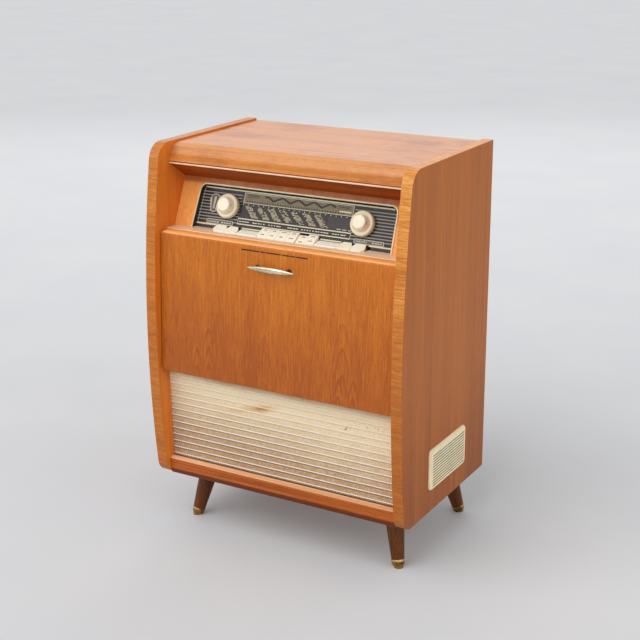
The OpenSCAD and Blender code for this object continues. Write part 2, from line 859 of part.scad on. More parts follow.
module dial_glass() {
    key_step = (key_rise + key_slope_rise + 2) / cos(lean);
    color("#3a3a36") above_sill() on_dial() difference() {
        box([-glass_half, glass_y, 3], [glass_half, glass_y + glass_t, glass_top]);
        box([-wing_end - 5, glass_y - cut, -cut], [wing_end + 5, glass_y + glass_t + cut, 9.5]);
        box([-band_half - 1, glass_y - cut, -cut], [band_half + 1, glass_y + glass_t + cut, key_step]);
        both_sides() rod_y(0, glass_y + glass_t + cut, knob_x, knob_s, sleeve_d + 1);
    }
}

module control_frame() {
    plate_low = 20;
    plate_high = glass_top - 1;
    color(steel) {
        on_dial() difference() {
            union() {
                box([-glass_half + 4, frame_y, plate_low], [glass_half - 4, frame_y + frame_t, plate_high]);
                both_sides() {
                    rod_y(glass_y + glass_t + 0.5, bush_end, knob_x, knob_s, sleeve_d + 4);
                    rod_y(bush_end + 0.5, bush_end + 0.5 + pot_l, knob_x, knob_s, pot_d);
                    for (s = [plate_low, plate_high - 6])
                        box([glass_half - 14, glass_y + glass_t, s], [glass_half - 4, frame_y, s + 6]);
                }
                // rail for the pointer
                box([-122, frame_y - 1.2, glass_top - 8], [122, frame_y, glass_top - 5]);
            }
            both_sides() rod_y(glass_y, bush_end + 0.5, knob_x, knob_s, sleeve_d + 2 * run);
        }
        // straps that join the controls to the frame's plate
        on_dial() both_sides() for (x = [-pot_d / 2, pot_d / 2])
            box([knob_x + x - 1, frame_y + frame_t, knob_s - 8],
                [knob_x + x + 1, bush_end + 0.5 + pot_l - 4, knob_s + 8]);
        // cheeks that stand on the shelf and carry the plate and the key shaft
        both_sides() along_x(wing_end + 10, wing_end + 12) difference() {
            polygon([[key_pivot_y - 40, radio_shelf_z], [key_pivot_y + 12, radio_shelf_z],
                [key_pivot_y + 12, key_pivot_z + 10], on_slope(frame_y + frame_t, 60),
                on_slope(frame_y + frame_t, plate_low)]);
            translate([key_pivot_y, key_pivot_z]) circle(d = key_shaft_d);
        }
        rod_x(-wing_end - 13, wing_end + 13, key_pivot_y, key_pivot_z, key_shaft_d);
    }
}

// A point of the dial's frame in (y, z) of the cabinet
function on_slope(y, s) = [fascia_y + y * cos(lean) + s * sin(lean),
    fascia_z - y * sin(lean) + s * cos(lean)];

outer_face = -3.5;

module outer_knob(side) {
    color(cream) on_dial() translate([side * knob_x, 0, knob_s]) difference() {
        union() {
            rotate([-90, 0, 0]) rotate_extrude($fn = 96) polygon([
                [0, outer_face + 1.5], [inner_knob_d / 2 + 1.5, outer_face + 1.5],
                [inner_knob_d / 2 + 2.5, outer_face], [outer_knob_d / 2 - 3, outer_face],
                [outer_knob_d / 2 - 0.8, outer_face + 1.4], [outer_knob_d / 2, outer_face + 3.5],
                [outer_knob_d / 2, outer_face + outer_knob_t], [0, outer_face + outer_knob_t]]);
            rod_y(outer_face + 2, bush_end, 0, 0, sleeve_d);
        }
        rod_y(outer_face - cut, bush_end + cut, 0, 0, shaft_d + 2 * run);
    }
}

module inner_knob(side) {
    back = outer_face + 1.2;
    color(cream) on_dial() translate([side * knob_x, 0, knob_s]) difference() {
        union() {
            rotate([-90, 0, 0]) rotate_extrude($fn = 96) polygon([
                [0, back - inner_knob_t], [inner_knob_d / 2 - 6.5, back - inner_knob_t + 0.3],
                [inner_knob_d / 2 - 4.5, back - inner_knob_t + 0.9],
                [inner_knob_d / 2 - 3.2, back - inner_knob_t + 2.2],
                [inner_knob_d / 2 - 2.2, back - inner_knob_t + 5],
                [inner_knob_d / 2, back - 1], [inner_knob_d / 2, back], [0, back]]);
            rod_y(back - 2, bush_end + 0.3, 0, 0, shaft_d);
        }
        rod_x(inner_knob_d / 2 - 6, inner_knob_d / 2 + cut, back - inner_knob_t / 2, 0, 2.4);
    }
}

module volume_knob() { inner_knob(-1); }

module bass_knob() { outer_knob(-1); }

module tuning_knob() { inner_knob(1); }

module treble_knob() { outer_knob(1); }

pointer_x = 20;

module dial_pointer() {
    color("#c8442e") on_dial() {
        box([pointer_x - 0.8, frame_y - 2.6, 26], [pointer_x + 0.8, frame_y - 1.5, glass_top - 3]);
        box([pointer_x - 5, frame_y - 2.6, glass_top - 10], [pointer_x + 5, frame_y - 1.4, glass_top - 3]);
    }
}

// A key between x0 and x1 whose top rises by slope_rise and bends at a crease;
// bevel is the length that its outer front corner loses
module key(x0, x1, slope_rise, pressed, crease, bevel) {
    top_front = sill_z + key_rise;
    top_back = top_front + slope_rise;
    back_top_y = on_slope(glass_y, (top_back - fascia_z + glass_y * sin(lean)) / cos(lean))[0]
        - key_back_gap;
    back_low_y = on_slope(glass_y, 9)[0] - key_back_gap;
    arm_x = (x0 + x1) / 2;
    low = sill_z - key_skirt;
    crease_y = key_front_y + (back_top_y - key_front_y) / 2;
    crease_z = top_front + slope_rise * crease;
    color(cream) translate([0, key_pivot_y, key_pivot_z]) rotate([pressed, 0, 0])
        translate([0, -key_pivot_y, -key_pivot_z]) difference() {
            union() {
                intersection() {
                    along_x(x0, x1) polygon(rounded(
                        [[key_front_y, low], [back_low_y, low], [back_low_y, sill_z + 3],
                            [back_top_y, top_back], [crease_y, crease_z], [key_front_y, top_front]],
                        [0, 0, 0, 0.8, 2, 0.8]));
                    translate([0, 0, low - cut]) linear_extrude(height = 60) polygon([
                        [x0, key_front_y - cut], [x1 - bevel, key_front_y - cut],
                        [x1, key_front_y + bevel], [x1, back_top_y + cut], [x0, back_top_y + cut]]);
                }
                box([arm_x - key_arm / 2, back_low_y - 4, low + 2],
                    [arm_x + key_arm / 2, key_pivot_y, low + 2 + key_arm]);
                rod_x(arm_x - key_arm / 2, arm_x + key_arm / 2, key_pivot_y, key_pivot_z,
                    key_shaft_d + 6);
            }
            rod_x(arm_x - key_arm, arm_x + key_arm, key_pivot_y, key_pivot_z, key_shaft_d + 2 * run);
        }
}

module band_key(n) {
    x0 = -band_half + (n - 1) * key_pitch + key_gap / 2;
    key(x0, x0 + key_pitch - key_gap, key_slope_rise, n == key_down ? key_travel : 0, 0.58, 0);
}

module tone_key(n) {
    x0 = wing_x + n * (wing_key_w + key_gap);
    key(x0, x0 + wing_key_w, wing_slope_rise, 0, 0.5, 5 * n);
}

module band_key_1() { band_key(1); }
module band_key_2() { band_key(2); }
module band_key_3() { band_key(3); }
module band_key_4() { band_key(4); }
module band_key_5() { band_key(5); }
module band_key_6() { band_key(6); }
module tone_key_left_outer() { mirror([1, 0, 0]) tone_key(1); }
module tone_key_left_inner() { mirror([1, 0, 0]) tone_key(0); }
module tone_key_right_inner() { tone_key(0); }
module tone_key_right_outer() { tone_key(1); }

// ---------- radio chassis ----------

chassis_x = inner_x - 68;
chassis_y0 = key_pivot_y + 20;
chassis_y1 = chassis_y0 + 140;
chassis_h = 55;
chassis_top = radio_shelf_z + chassis_h;
valve_pitch = (2 * chassis_x - 190) / 5;
valve_spots = [for (i = [0:5]) [70 - chassis_x + i * valve_pitch, chassis_y0 + 30 + (i % 2) * 34]];

module radio_chassis() {
    wall = 1.5;
    color(steel) difference() {
        box([-chassis_x, chassis_y0, radio_shelf_z], [chassis_x, chassis_y1, chassis_top]);
        box([-chassis_x + wall, chassis_y0 + wall, radio_shelf_z - cut],
            [chassis_x - wall, chassis_y1 - wall, chassis_top - wall]);
    }
}

module valves() {
    color("#cfd6d8") for (p = valve_spots) translate([p[0], p[1], chassis_top]) {
        cylinder(h = 6, d = 24);
        cylinder(h = 46, d = 20);
        translate([0, 0, 46]) sphere(d = 20);
    }
}

module chassis_components() {
    color("#5b5f63") {
        // mains transformer
        translate([chassis_x - 42, chassis_y1 - 42, chassis_top]) {
            box([-35, -28, 0], [35, 28, 58]);
            box([-24, -38, 8], [24, 38, 50]);
        }
        // output transformer
        translate([-chassis_x + 30, chassis_y1 - 32, chassis_top]) {
            box([-20, -16, 0], [20, 16, 34]);
            box([-14, -24, 4], [14, 24, 30]);
        }
        // tuning capacitor
        translate([chassis_x - 66, chassis_y0 + 12, chassis_top]) box([-30, 0, 0], [30, 42, 40]);
        // filter cans
        for (x = [220, 185, 150]) translate([chassis_x - x, chassis_y1 - 26, chassis_top])
            box([-13, -13, 0], [13, 13, 48]);
        translate([chassis_x - 114, chassis_y1 - 28, chassis_top]) cylinder(h = 66, d = 32);
    }
}

// ---------- record player ----------

module deck_plate() {
    mid = [(deck_x0 + deck_x1) / 2, (deck_y0 + deck_y1) / 2];
    color("#c9b99a") difference() {
        union() {
            translate([mid[0], mid[1], deck_z]) linear_extrude(height = deck_t)
                polygon(rect(deck_x1 - deck_x0, deck_y1 - deck_y0, 18));
            translate([spindle_x, spindle_y, deck_z - 12])
                cylinder(h = platter_z - 0.5 - deck_z + 12, d = 18);
            // bearing and rest of the pickup arm
            translate([arm_x, arm_y, deck_z - 8]) cylinder(h = arm_boss_z - deck_z + 8, d = 30);
            translate([arm_x, arm_y - arm_l + 60, deck_z]) {
                cylinder(h = arm_z - deck_z - 5, d = 12);
                box([-11, -5, arm_z - deck_z - 6], [11, 5, arm_z - deck_z - 0.3]);
            }
        }
        translate([spindle_x, spindle_y, deck_z - 20]) cylinder(h = 60, d = 9 + 2 * run);
        translate([speed_x, speed_y, deck_z - cut]) cylinder(h = 20, d = 6 + 2 * run);
        translate([arm_x, arm_y, deck_z - 9]) cylinder(h = 40, d = arm_pin_d + 2 * run);
    }
}

module deck_mounts() {
    color("#2a2a2a") for (x = [deck_x0 + 20, deck_x1 - 20], y = [deck_y0 + 22, deck_y1 - 22])
        translate([x, y, motor_board_z]) cylinder(h = deck_gap, d = 18);
}

module deck_motor() {
    color(steel) translate([55, 54, deck_z - 62]) {
        cylinder(h = 52, d = 84);
        for (a = [0:120:240]) rotate([0, 0, a]) translate([34, 0, 52]) cylinder(h = 10, d = 8);
    }
}

module platter() {
    wall = 3;
    color("#8a8d90") translate([spindle_x, spindle_y, platter_z]) rotate_extrude($fn = 120)
        polygon([[0, -16], [4.5, -16], [4.5, 0], [16, 0], [16, platter_h - wall],
            [platter_d / 2 - 8, platter_h - wall], [platter_d / 2 - 8, 0], [platter_d / 2 - 1, 0],
            [platter_d / 2, 1], [platter_d / 2, platter_h - 1], [platter_d / 2 - 1, platter_h],
            [hub_d / 2, platter_h], [hub_d / 2, platter_h + mat_t], [spindle_d / 2, platter_h + mat_t],
            [spindle_d / 2, platter_h + mat_t + spindle_h - 2],
            [spindle_d / 2 - 1.5, platter_h + mat_t + spindle_h],
            [0, platter_h + mat_t + spindle_h]]);
}

module platter_mat() {
    color("#3a3230") translate([spindle_x, spindle_y, platter_z + platter_h]) difference() {
        cylinder(h = mat_t, d = platter_d - 12, $fn = 120);
        translate([0, 0, -cut]) cylinder(h = mat_t + 2 * cut, d = hub_d + 1);
    }
}

module tonearm() {
    color(cream) translate([arm_x, arm_y, 0]) difference() {
        union() {
            box([-6, -arm_l + 26, arm_z], [6, 22, arm_z + 10]);
            box([-9, -arm_l - 10, arm_z - 4], [9, -arm_l + 34, arm_z + 9]);
            rod_x(-10, 10, arm_axle[0], arm_axle[1], 16);
            translate([0, -arm_l, arm_z - 6.5]) cylinder(h = 3, d = 1.6);
        }
        rod_x(-11, 11, arm_axle[0], arm_axle[1], arm_axle_d + 2 * run);
    }
}

module tonearm_base() {
    plate_z = arm_z - 7;
    color("#b9b2a0") translate([arm_x, arm_y, 0]) {
        translate([0, 0, arm_boss_z + 0.3]) cylinder(h = plate_z - arm_boss_z - 0.3, d = 34);
        translate([0, 0, deck_z - 8]) cylinder(h = arm_boss_z - deck_z + 9, d = arm_pin_d);
        both_sides() box([10.4, -6, plate_z - 1], [13.4, 6, arm_axle[1] + 6]);
        rod_x(-12, 12, arm_axle[0], arm_axle[1], arm_axle_d);
    }
}

module speed_knob() {
    color(cream) translate([speed_x, speed_y, deck_z + deck_t + 0.4]) {
        cylinder(h = 8, d = 28);
        box([-3, -13, 0], [3, 13, 13]);
        translate([0, 0, -12]) cylinder(h = 14, d = 6);
    }
}

side_panel_left();
side_panel_right();
top_panel();
lip_trim();
recess_ceiling();
dial_fascia();
sill_board();
radio_shelf();
motor_board();
shelf_rails();
compartment_floor();
bottom_board();
bottom_rail();
speaker_baffle();
speaker_cloth();
back_panel();
back_screws();
legs();
leg_fittings();
side_grilles();
flap_bearings();
flap_catch();
flap_door();
flap_inlay();
flap_handle();
flap_fittings();
stay_rods();
stay_swivels();
dial_bezel();
dial_glass();
control_frame();
radio_chassis();
valves();
chassis_components();
mains_inlet();
volume_knob();
bass_knob();
tuning_knob();
treble_knob();
dial_pointer();
band_key_1();
band_key_2();
band_key_3();
band_key_4();
band_key_5();
band_key_6();
tone_key_left_outer();
tone_key_left_inner();
tone_key_right_inner();
tone_key_right_outer();
woofer();
side_speakers();
deck_plate();
deck_mounts();
deck_motor();
platter();
platter_mat();
tonearm();
tonearm_base();
speed_knob();
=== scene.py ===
import json
import math
import random

import bmesh
import bpy
from mathutils import Matrix, Vector

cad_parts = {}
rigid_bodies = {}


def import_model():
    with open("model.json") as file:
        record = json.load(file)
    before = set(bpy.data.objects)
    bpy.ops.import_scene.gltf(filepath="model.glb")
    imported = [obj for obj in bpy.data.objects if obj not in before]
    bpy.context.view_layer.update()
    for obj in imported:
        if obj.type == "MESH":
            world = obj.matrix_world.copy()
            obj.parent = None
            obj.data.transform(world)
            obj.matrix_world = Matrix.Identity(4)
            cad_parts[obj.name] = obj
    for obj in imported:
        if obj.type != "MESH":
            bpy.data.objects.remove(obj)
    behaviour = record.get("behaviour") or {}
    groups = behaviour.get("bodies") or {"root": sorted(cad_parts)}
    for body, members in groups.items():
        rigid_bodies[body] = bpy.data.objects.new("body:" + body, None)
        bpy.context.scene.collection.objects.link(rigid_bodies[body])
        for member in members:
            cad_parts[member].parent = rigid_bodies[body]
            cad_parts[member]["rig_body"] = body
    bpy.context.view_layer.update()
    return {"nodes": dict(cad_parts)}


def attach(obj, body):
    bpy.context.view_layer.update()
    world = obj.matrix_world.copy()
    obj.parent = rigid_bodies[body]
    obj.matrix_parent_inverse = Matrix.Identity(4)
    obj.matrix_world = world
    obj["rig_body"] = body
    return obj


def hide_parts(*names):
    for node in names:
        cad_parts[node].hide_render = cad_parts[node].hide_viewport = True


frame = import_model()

nodes = frame["nodes"]
MM = 0.001


# ---------- places ----------

# Each leaning board's foot, in mm, and its lean back, in degrees.
DIAL = ((0, -113.5, 624), 24.25)
FLAP = ((0, -177.9, 341), 3.16)
CLOTH = ((0, -146.5, 151), -1.975)

# The cabinet's measures in mm. An S is a height up the dial's slope.
PANEL_INNER = 258
GLASS_FACE = 8.2
KNOB_X, KNOB_S = 147, 48.5
KEY_PITCH, KEY_PIVOT = 20.7, (0, -45, 620)
KEY_STRIP_HALF, KEY_STRIP_S = 112, 9
FERRULE_TOP, RAIL_FOOT, FLAP_EDGE = 16, 110, 600
SLOTS_Y, SLOTS_Z, SLOTS_HALF_Y, SLOTS_HALF_Z = 10.5, 194, 71.6, 33.3
PLATTER_X, PLATTER_Y = -45, 8

# The one band key that is down at rest, and the degrees it is down by.
KEY_DOWN, KEY_TRAVEL = 5, 3.2

# The cloth's cords: pitch up the cloth, first one's height, and how many there are. A ply comes round
# once in CORD_LAY mm along, and each cord's plies lie CORD_SHIFT mm off those of the one below.
CORD_PITCH, CORD_FIRST, CORD_COUNT = 14.1, 0.7, 14
CORD_LAY, CORD_SHIFT = 9.6, 1.7


def lean_of(degrees):
    """Sine and cosine of a lean."""
    return math.sin(math.radians(degrees)), math.cos(math.radians(degrees))


def leaning(foot, degrees):
    """Places a point given in mm as x, depth and height on a board that leans back from its foot."""
    sine, cosine = lean_of(degrees)

    def at(x, depth, height):
        return Vector((x + foot[0],
                       foot[1] + depth * cosine + height * sine,
                       foot[2] - depth * sine + height * cosine)) * MM
    return at


on_dial, on_flap, on_cloth = leaning(*DIAL), leaning(*FLAP), leaning(*CLOTH)


def colour(red, green, blue):
    """A display colour, 0 to 255, as Blender's linear one."""
    def straight(value):
        value /= 255
        return value / 12.92 if value <= 0.04045 else ((value + 0.055) / 1.055) ** 2.4
    return (straight(red), straight(green), straight(blue), 1.0)


def darker(tint, share):
    """A linear colour with only a share of its light."""
    return tuple(share * value for value in tint[:3]) + (1.0,)


# ---------- node trees ----------

class Value:
    """What a node puts out. A sign between it and a number or another one adds a math node."""

    def __init__(self, n, socket):
        self.n, self.socket = n, socket

    def __add__(self, other):
        return self.n.math("ADD", self, other)

    def __sub__(self, other):
        return self.n.math("SUBTRACT", self, other)

    def __rsub__(self, other):
        return self.n.math("SUBTRACT", other, self)

    def __mul__(self, other):
        return self.n.math("MULTIPLY", self, other)

    def __truediv__(self, other):
        return self.n.math("DIVIDE", self, other)

    def __abs__(self):
        return self.n.math("ABSOLUTE", self)


class Nodes:
    """Short words for adding shader nodes to a tree."""

    def __init__(self, tree):
        self.tree = tree

    def add(self, kind, values=None, **settings):
        node = self.tree.nodes.new(kind)
        for name, value in settings.items():
            setattr(node, name, value)
        self.feed(node, values or {})
        return node

    def feed(self, node, values):
        """Links or sets a node's inputs, each given by its name or number."""
        for key, value in values.items():
            if isinstance(value, Value):
                self.tree.links.new(value.socket, node.inputs[key])
            else:
                node.inputs[key].default_value = value

    def make(self, kind, output, values=None, **settings):
        """Adds a node and gives one of its outputs."""
        return Value(self, self.add(kind, values, **settings).outputs[output])

    def read(self, node):
        return {socket.name: Value(self, socket) for socket in node.outputs}

    def math(self, operation, *values):
        return self.make("ShaderNodeMath", 0, dict(enumerate(values)), operation=operation)

    def vector(self, operation, *values):
        output = "Value" if operation in ("DOT_PRODUCT", "LENGTH") else "Vector"
        return self.make("ShaderNodeVectorMath", output, dict(enumerate(values)), operation=operation)

    def noise(self, place, scale, detail=2.0, roughness=0.5, distortion=0.0):
        """Noise whose scale may differ along each axis."""
        if isinstance(scale, tuple):
            place, scale = self.vector("MULTIPLY", place, scale), 1.0
        return self.make("ShaderNodeTexNoise", "Fac", {
            "Vector": place, "Scale": scale, "Detail": detail,
            "Roughness": roughness, "Distortion": distortion})

    def span(self, value, low, high, out_low=0.0, out_high=1.0, kind="LINEAR"):
        """Takes low to high over to out_low to out_high, and stays there beyond them."""
        return self.make("ShaderNodeMapRange", "Result", {
            "Value": value, "From Min": low, "From Max": high,
            "To Min": out_low, "To Max": out_high}, interpolation_type=kind)

    def ease(self, value, low, high, out_low=0.0, out_high=1.0):
        """A span with soft ends."""
        return self.span(value, low, high, out_low, out_high, "SMOOTHSTEP")

    def ramp(self, value, stops):
        node = self.add("ShaderNodeValToRGB", {"Fac": value})
        elements = node.color_ramp.elements
        while len(elements) < len(stops):
            elements.new(0.5)
        for element, (position, tint) in zip(elements, stops):
            element.position, element.color = position, colour(*tint)
        return Value(self, node.outputs["Color"])

    def mix(self, factor, a, b):
        """Mixes two colours; b may be a display colour."""
        b = colour(*b) if isinstance(b, tuple) and len(b) == 3 else b
        return self.make("ShaderNodeMix", 2, {"Factor": factor, 6: a, 7: b}, data_type="RGBA")

    def place(self):
        return self.make("ShaderNodeTexCoord", "Object")

    def split(self, vector):
        node = self.add("ShaderNodeSeparateXYZ", {0: vector})
        return [Value(self, socket) for socket in node.outputs]

    def join(self, x, y, z):
        return self.make("ShaderNodeCombineXYZ", 0, {0: x, 1: y, 2: z})

    def bump(self, height, strength, distance):
        return self.make("ShaderNodeBump", "Normal", {
            "Height": height, "Strength": strength, "Distance": distance})

    def use(self, group, **values):
        """Places a node group and gives its outputs by name; Half_Width stands for its Half Width."""
        inputs = {key.replace("_", " "): value for key, value in values.items()}
        return self.read(self.add("ShaderNodeGroup", inputs, node_tree=group))


def new_group(name, inputs, outputs, build):
    """A node group of value outputs; build gives them, in order, from the group's inputs."""
    tree = bpy.data.node_groups.new(name, "ShaderNodeTree")
    for label, default in inputs.items():
        kind = "NodeSocketFloat" if isinstance(default, float) else "NodeSocketVector"
        tree.interface.new_socket(name=label, in_out="INPUT", socket_type=kind).default_value = default
    for label in outputs:
        tree.interface.new_socket(name=label, in_out="OUTPUT", socket_type="NodeSocketFloat")
    n = Nodes(tree)
    given = n.read(n.add("NodeGroupInput"))
    n.feed(n.add("NodeGroupOutput"), dict(zip(outputs, build(n, given))))
    return tree


def bent(n, place):
    """The place, moved across the grain by the slow wander of the tree's growth."""
    wander = n.noise(place, (3.1, 3.1, 1.7)) - 0.5
    x, y, z = n.split(place)
    return n.join(n.math("MULTIPLY_ADD", wander, 0.014, x), y, z)


def wood_figure(n, given):
    """Bands, streaks, fibres and pores of sliced wood; the grain runs along Z."""
    place = bent(n, given["Place"])
    broad = n.noise(place, (12, 12, 0.4)) - 0.5
    bands = n.noise(place, (62, 62, 0.7), 3, 0.6) - 0.5
    streaks = n.noise(place, (380, 380, 2.6), 4, 0.62) - 0.5
    fibre = n.noise(place, (1500, 1500, 42), 2, 0.6)
    coarse = (broad * 1.5 + bands * 1.3) * given["Band Contrast"]
    fine = (streaks * 1.5 + (fibre - 0.5) * 0.8) * given["Streak Contrast"]
    pores = n.ease(n.noise(place, (2300, 2300, 105), 0), 0.62, 0.74)
    return coarse + fine + 0.5, fibre, pores


def arch_figure(n, given):
    """Nested arches, as flat sliced veneer shows them, about one line along the grain."""
    place = bent(n, given["Place"])
    x, _, z = n.split(place)
    across = (x - given["Centre"]) / given["Half Width"]
    wobble = (n.noise(place, (90, 90, 14), 3, 0.6) - 0.5) * 0.6
    height = z + across * across * given["Rise"]
    rings = n.math("POWER", n.math("FRACT", height / given["Spacing"] + wobble), 3.0)
    beside = n.ease(abs(across), 0.5, 1.3, 1.0, 0.0)
    below = n.ease(height - given["Top"], -0.05, 0.0, 1.0, 0.0)
    return rings, beside * below


def handling_wear(n, given):
    """Handling marks: a slow mottle, small rubbed spots and short scratches."""
    size = given["Scale"]
    place = n.vector("MULTIPLY", given["Place"], n.join(size, size, size))
    return (n.noise(place, 22.0, 4, 0.6),
            n.ease(n.noise(place, 330.0), 0.70, 0.78),
            n.ease(n.noise(place, (900, 60, 700), 1, 0.4, 0.6), 0.70, 0.76))


def plain_weave(n, given):
    """A plain weave: the yarns' height, the gaps between them and the slubs in each yarn."""
    place = given["Place"]
    x, _, z = n.split(place)
    wobble = (n.noise(place, 160.0) - 0.5) * 0.9
    waves = [n.math("SINE", (along / given["Pitch"] + wobble) * math.pi) for along in (x, z)]
    over = waves[0] * waves[1]
    ridges = [abs(wave) for wave in waves]
    height = n.math("MAXIMUM", n.math("MULTIPLY_ADD", over, 0.35, ridges[0]),
                    n.math("MULTIPLY_ADD", over, -0.35, ridges[1]))
    gap = n.ease(n.math("MAXIMUM", *ridges), 0.35, 0.75, 1.0, 0.0)
    return height, gap, n.noise(place, (520, 90, 520), 3, 0.6)


PLACE = {"Place": (0, 0, 0)}
WOOD_FIGURE = new_group("wood figure", {**PLACE, "Band Contrast": 1.0, "Streak Contrast": 1.0},
                        ("Tone", "Fibre", "Pores"), wood_figure)
ARCH_FIGURE = new_group("arch figure", {**PLACE, "Centre": 0.0, "Half Width": 0.06, "Rise": 0.4,
                                        "Spacing": 0.04, "Top": 1.0}, ("Rings", "Mask"), arch_figure)
WEAR = new_group("handling wear", {**PLACE, "Scale": 1.0}, ("Mottle", "Spots", "Scratches"), handling_wear)
WEAVE = new_group("plain weave", {**PLACE, "Pitch": 0.0016}, ("Height", "Gap", "Slub"), plain_weave)


def new_material(name):
    material = bpy.data.materials.new(name)
    material.use_nodes = True
    material.node_tree.nodes.clear()
    n = Nodes(material.node_tree)
    shader = n.add("ShaderNodeBsdfPrincipled")
    n.add("ShaderNodeOutputMaterial", {"Surface": Value(n, shader.outputs[0])})
    return material, n, shader


# ---------- woods ----------

TONE_STOPS = (0.12, 0.5, 0.88)


def along_grain(n, axis, offset):
    """The place with its grain axis, x or z, turned to Z."""
    x, y, z = n.split(n.vector("ADD", n.place(), offset))
    return n.join(z, y, x) if axis == "x" else n.join(x, y, z)


def wood(name, grain, tones, bands, streaks, arches=(), offset=(0, 0, 0), roughness=(0.36, 0.5),
         coat=0.14, coat_roughness=0.2, shine=0.28, pore=0.35, extra=None, second=None):
    """A lacquered or plain wood. tones are its dark, middle and light colours, extra changes its
    tone from place to place, and second is a mask with the tones of another part of the same face."""
    material, n, shader = new_material(name)
    place = along_grain(n, grain, offset)
    figure = n.use(WOOD_FIGURE, Place=place, Band_Contrast=bands, Streak_Contrast=streaks)
    tone = figure["Tone"]
    for centre, half_width, rise, spacing, top, depth in arches:
        arch = n.use(ARCH_FIGURE, Place=place, Centre=centre, Half_Width=half_width, Rise=rise,
                     Spacing=spacing, Top=top)
        tone = n.math("MULTIPLY_ADD", (0.2 - arch["Rings"]) * arch["Mask"], depth, tone)
    if extra:
        tone = extra(n, place, tone)
    tone = n.span(tone, 0.0, 1.0)
    base = n.ramp(tone, list(zip(TONE_STOPS, tones)))
    if second:
        mask, other_tones = second
        base = n.mix(mask(n), base, n.ramp(tone, list(zip(TONE_STOPS, other_tones))))
    base = n.mix(figure["Pores"] * pore, base, darker(colour(*tones[0]), 0.42))
    mottle = n.use(WEAR, Place=n.place())["Mottle"]
    n.feed(shader, {
        "Base Color": base,
        "Roughness": n.span(figure["Fibre"], 0.3, 0.7, *roughness) + (mottle - 0.5) * 0.16,
        "Specular IOR Level": shine, "Coat Weight": coat, "Coat Roughness": coat_roughness,
        "Normal": n.bump(figure["Fibre"] * 0.35 - figure["Pores"], 0.22, 0.0002)})
    return material


def darker_downward(low, high, depth):
    """A tone that falls by depth from height high down to height low."""
    def fade(n, place, tone):
        return tone + n.ease(n.split(place)[2], low, high, -depth, 0.0)
    return fade


def between(axis, low, high, out_low=0.0, out_high=1.0):
    """A mask that goes from out_low to out_high between two places along an axis of the frame."""
    def mask(n):
        return n.ease(n.split(n.place())[axis], low, high, out_low, out_high)
    return mask


def nose_sheen_and_pale_edge(n):
    """The upper part of the top's rounded front, paler as painted sheen, and a paler line along its lower
    edge.
    """
    depth = n.split(n.place())[1]
    return n.math("MAXIMUM", n.span(depth, -0.1215, -0.1165), n.span(depth, -0.1236, -0.1229, 0.8, 0.0))


def top_clouds(n, place, tone):
    """Soft reddish clouds and a few faint dark lines."""
    line = n.noise(place, (60, 60, 2.4), 3, 0.55, 0.35)
    cloud = n.noise(place, (11, 11, 6), 4, 0.6, 0.4)
    return tone - n.ease(line, 0.58, 0.72) * 0.13 - n.ease(cloud, 0.46, 0.68) * 0.21


def rail_foot_painted_shade(n, place, tone):
    """The rail's front, darker towards its rounded foot: painted shade where it turns under."""
    foot = RAIL_FOOT * MM
    return tone + n.ease(n.split(n.place())[2], foot + 0.002, foot + 0.016, -0.8, 0.0)


def worn_through(n, place, tone):
    """Short stretches where a dark line has worn pale."""
    return tone + n.span(n.noise(n.place(), (170, 40, 40), 3, 0.7), 0.54, 0.64, -0.1, 0.5)


def edge_figure(n, place, tone):
    """Cross-cut rays of the edge strips: thin darker lines and a fine shimmer, paler towards the top as
    painted light.
    """
    across, _, up = n.split(n.place())
    # Painted light: paler towards the top and darker towards the foot, more strongly on the right strip.
    paler = n.span(across, -0.1, 0.1, 0.4, 1.0) * n.span(up, 0.25, 0.74, -0.16, 0.32)
    line = n.noise(place, (560, 560, 16), 2, 0.5, 0.3)
    rare = n.noise(place, (120, 120, 9), 3, 0.7, 0.5)
    shimmer = n.noise(place, (260, 260, 60), 3, 0.6)
    tone = tone + (paler - 0.14) - n.ease(line, 0.6, 0.72) * 0.26 - n.ease(rare, 0.66, 0.71) * 0.22
    return tone + (shimmer - 0.5) * 0.6


# Tones are display colours; an arch's numbers are centre, half width, rise, spacing, top and depth.
flap_wood = wood(
    "flap veneer", "z", ((158, 76, 16), (193, 106, 20), (218, 132, 44)), 0.24, 0.62,
    arches=[(-0.173, 0.013, 0.06, 0.0335, 0.44, 0.5), (-0.146, 0.016, 0.07, 0.034, 0.48, 0.42),
            (0.143, 0.014, 0.06, 0.0328, 0.43, 0.5), (0.175, 0.013, 0.06, 0.033, 0.43, 0.5),
            (0.15, 0.03, 0.16, 0.05, 0.56, 0.2), (-0.02, 0.04, 0.3, 0.09, 0.5, 0.12)],
    # Darker towards the foot: partly the veneer's own tone, partly painted shade where the light falls off
    # downward.
    extra=darker_downward(0.34, 0.6, 0.3))
# A paler copy of the flap veneer for its rounded upper edge: painted highlight where the edge turns up to
# the light.
flap_top_highlight_wood = wood(
    "flap top edge", "x", ((206, 124, 54), (244, 166, 92), (252, 192, 124)), 0.4, 0.5,
    offset=(0.2, 0.6, 0.1), coat=0.2)
side_wood = wood(
    "side panel veneer", "z", ((146, 74, 14), (182, 100, 26), (202, 120, 42)), 0.34, 0.62,
    offset=(0.0, 0.31, 0.0), coat=0.06, shine=0.22, extra=darker_downward(0.1, 0.42, 0.26),
    second=(between(2, 0.36, 0.74), ((150, 78, 4), (184, 100, 10), (204, 120, 24))))
inner_wood = wood(
    "inner panel veneer", "z", ((196, 100, 26), (228, 126, 40), (240, 146, 60)), 0.4, 0.55,
    offset=(0.7, 0.2, 0.0))
edge_wood = wood(
    "edge strip", "x", ((160, 86, 26), (200, 120, 40), (240, 170, 84)), 0.2, 0.5,
    offset=(0.02, 0.4, 0.9), extra=edge_figure)
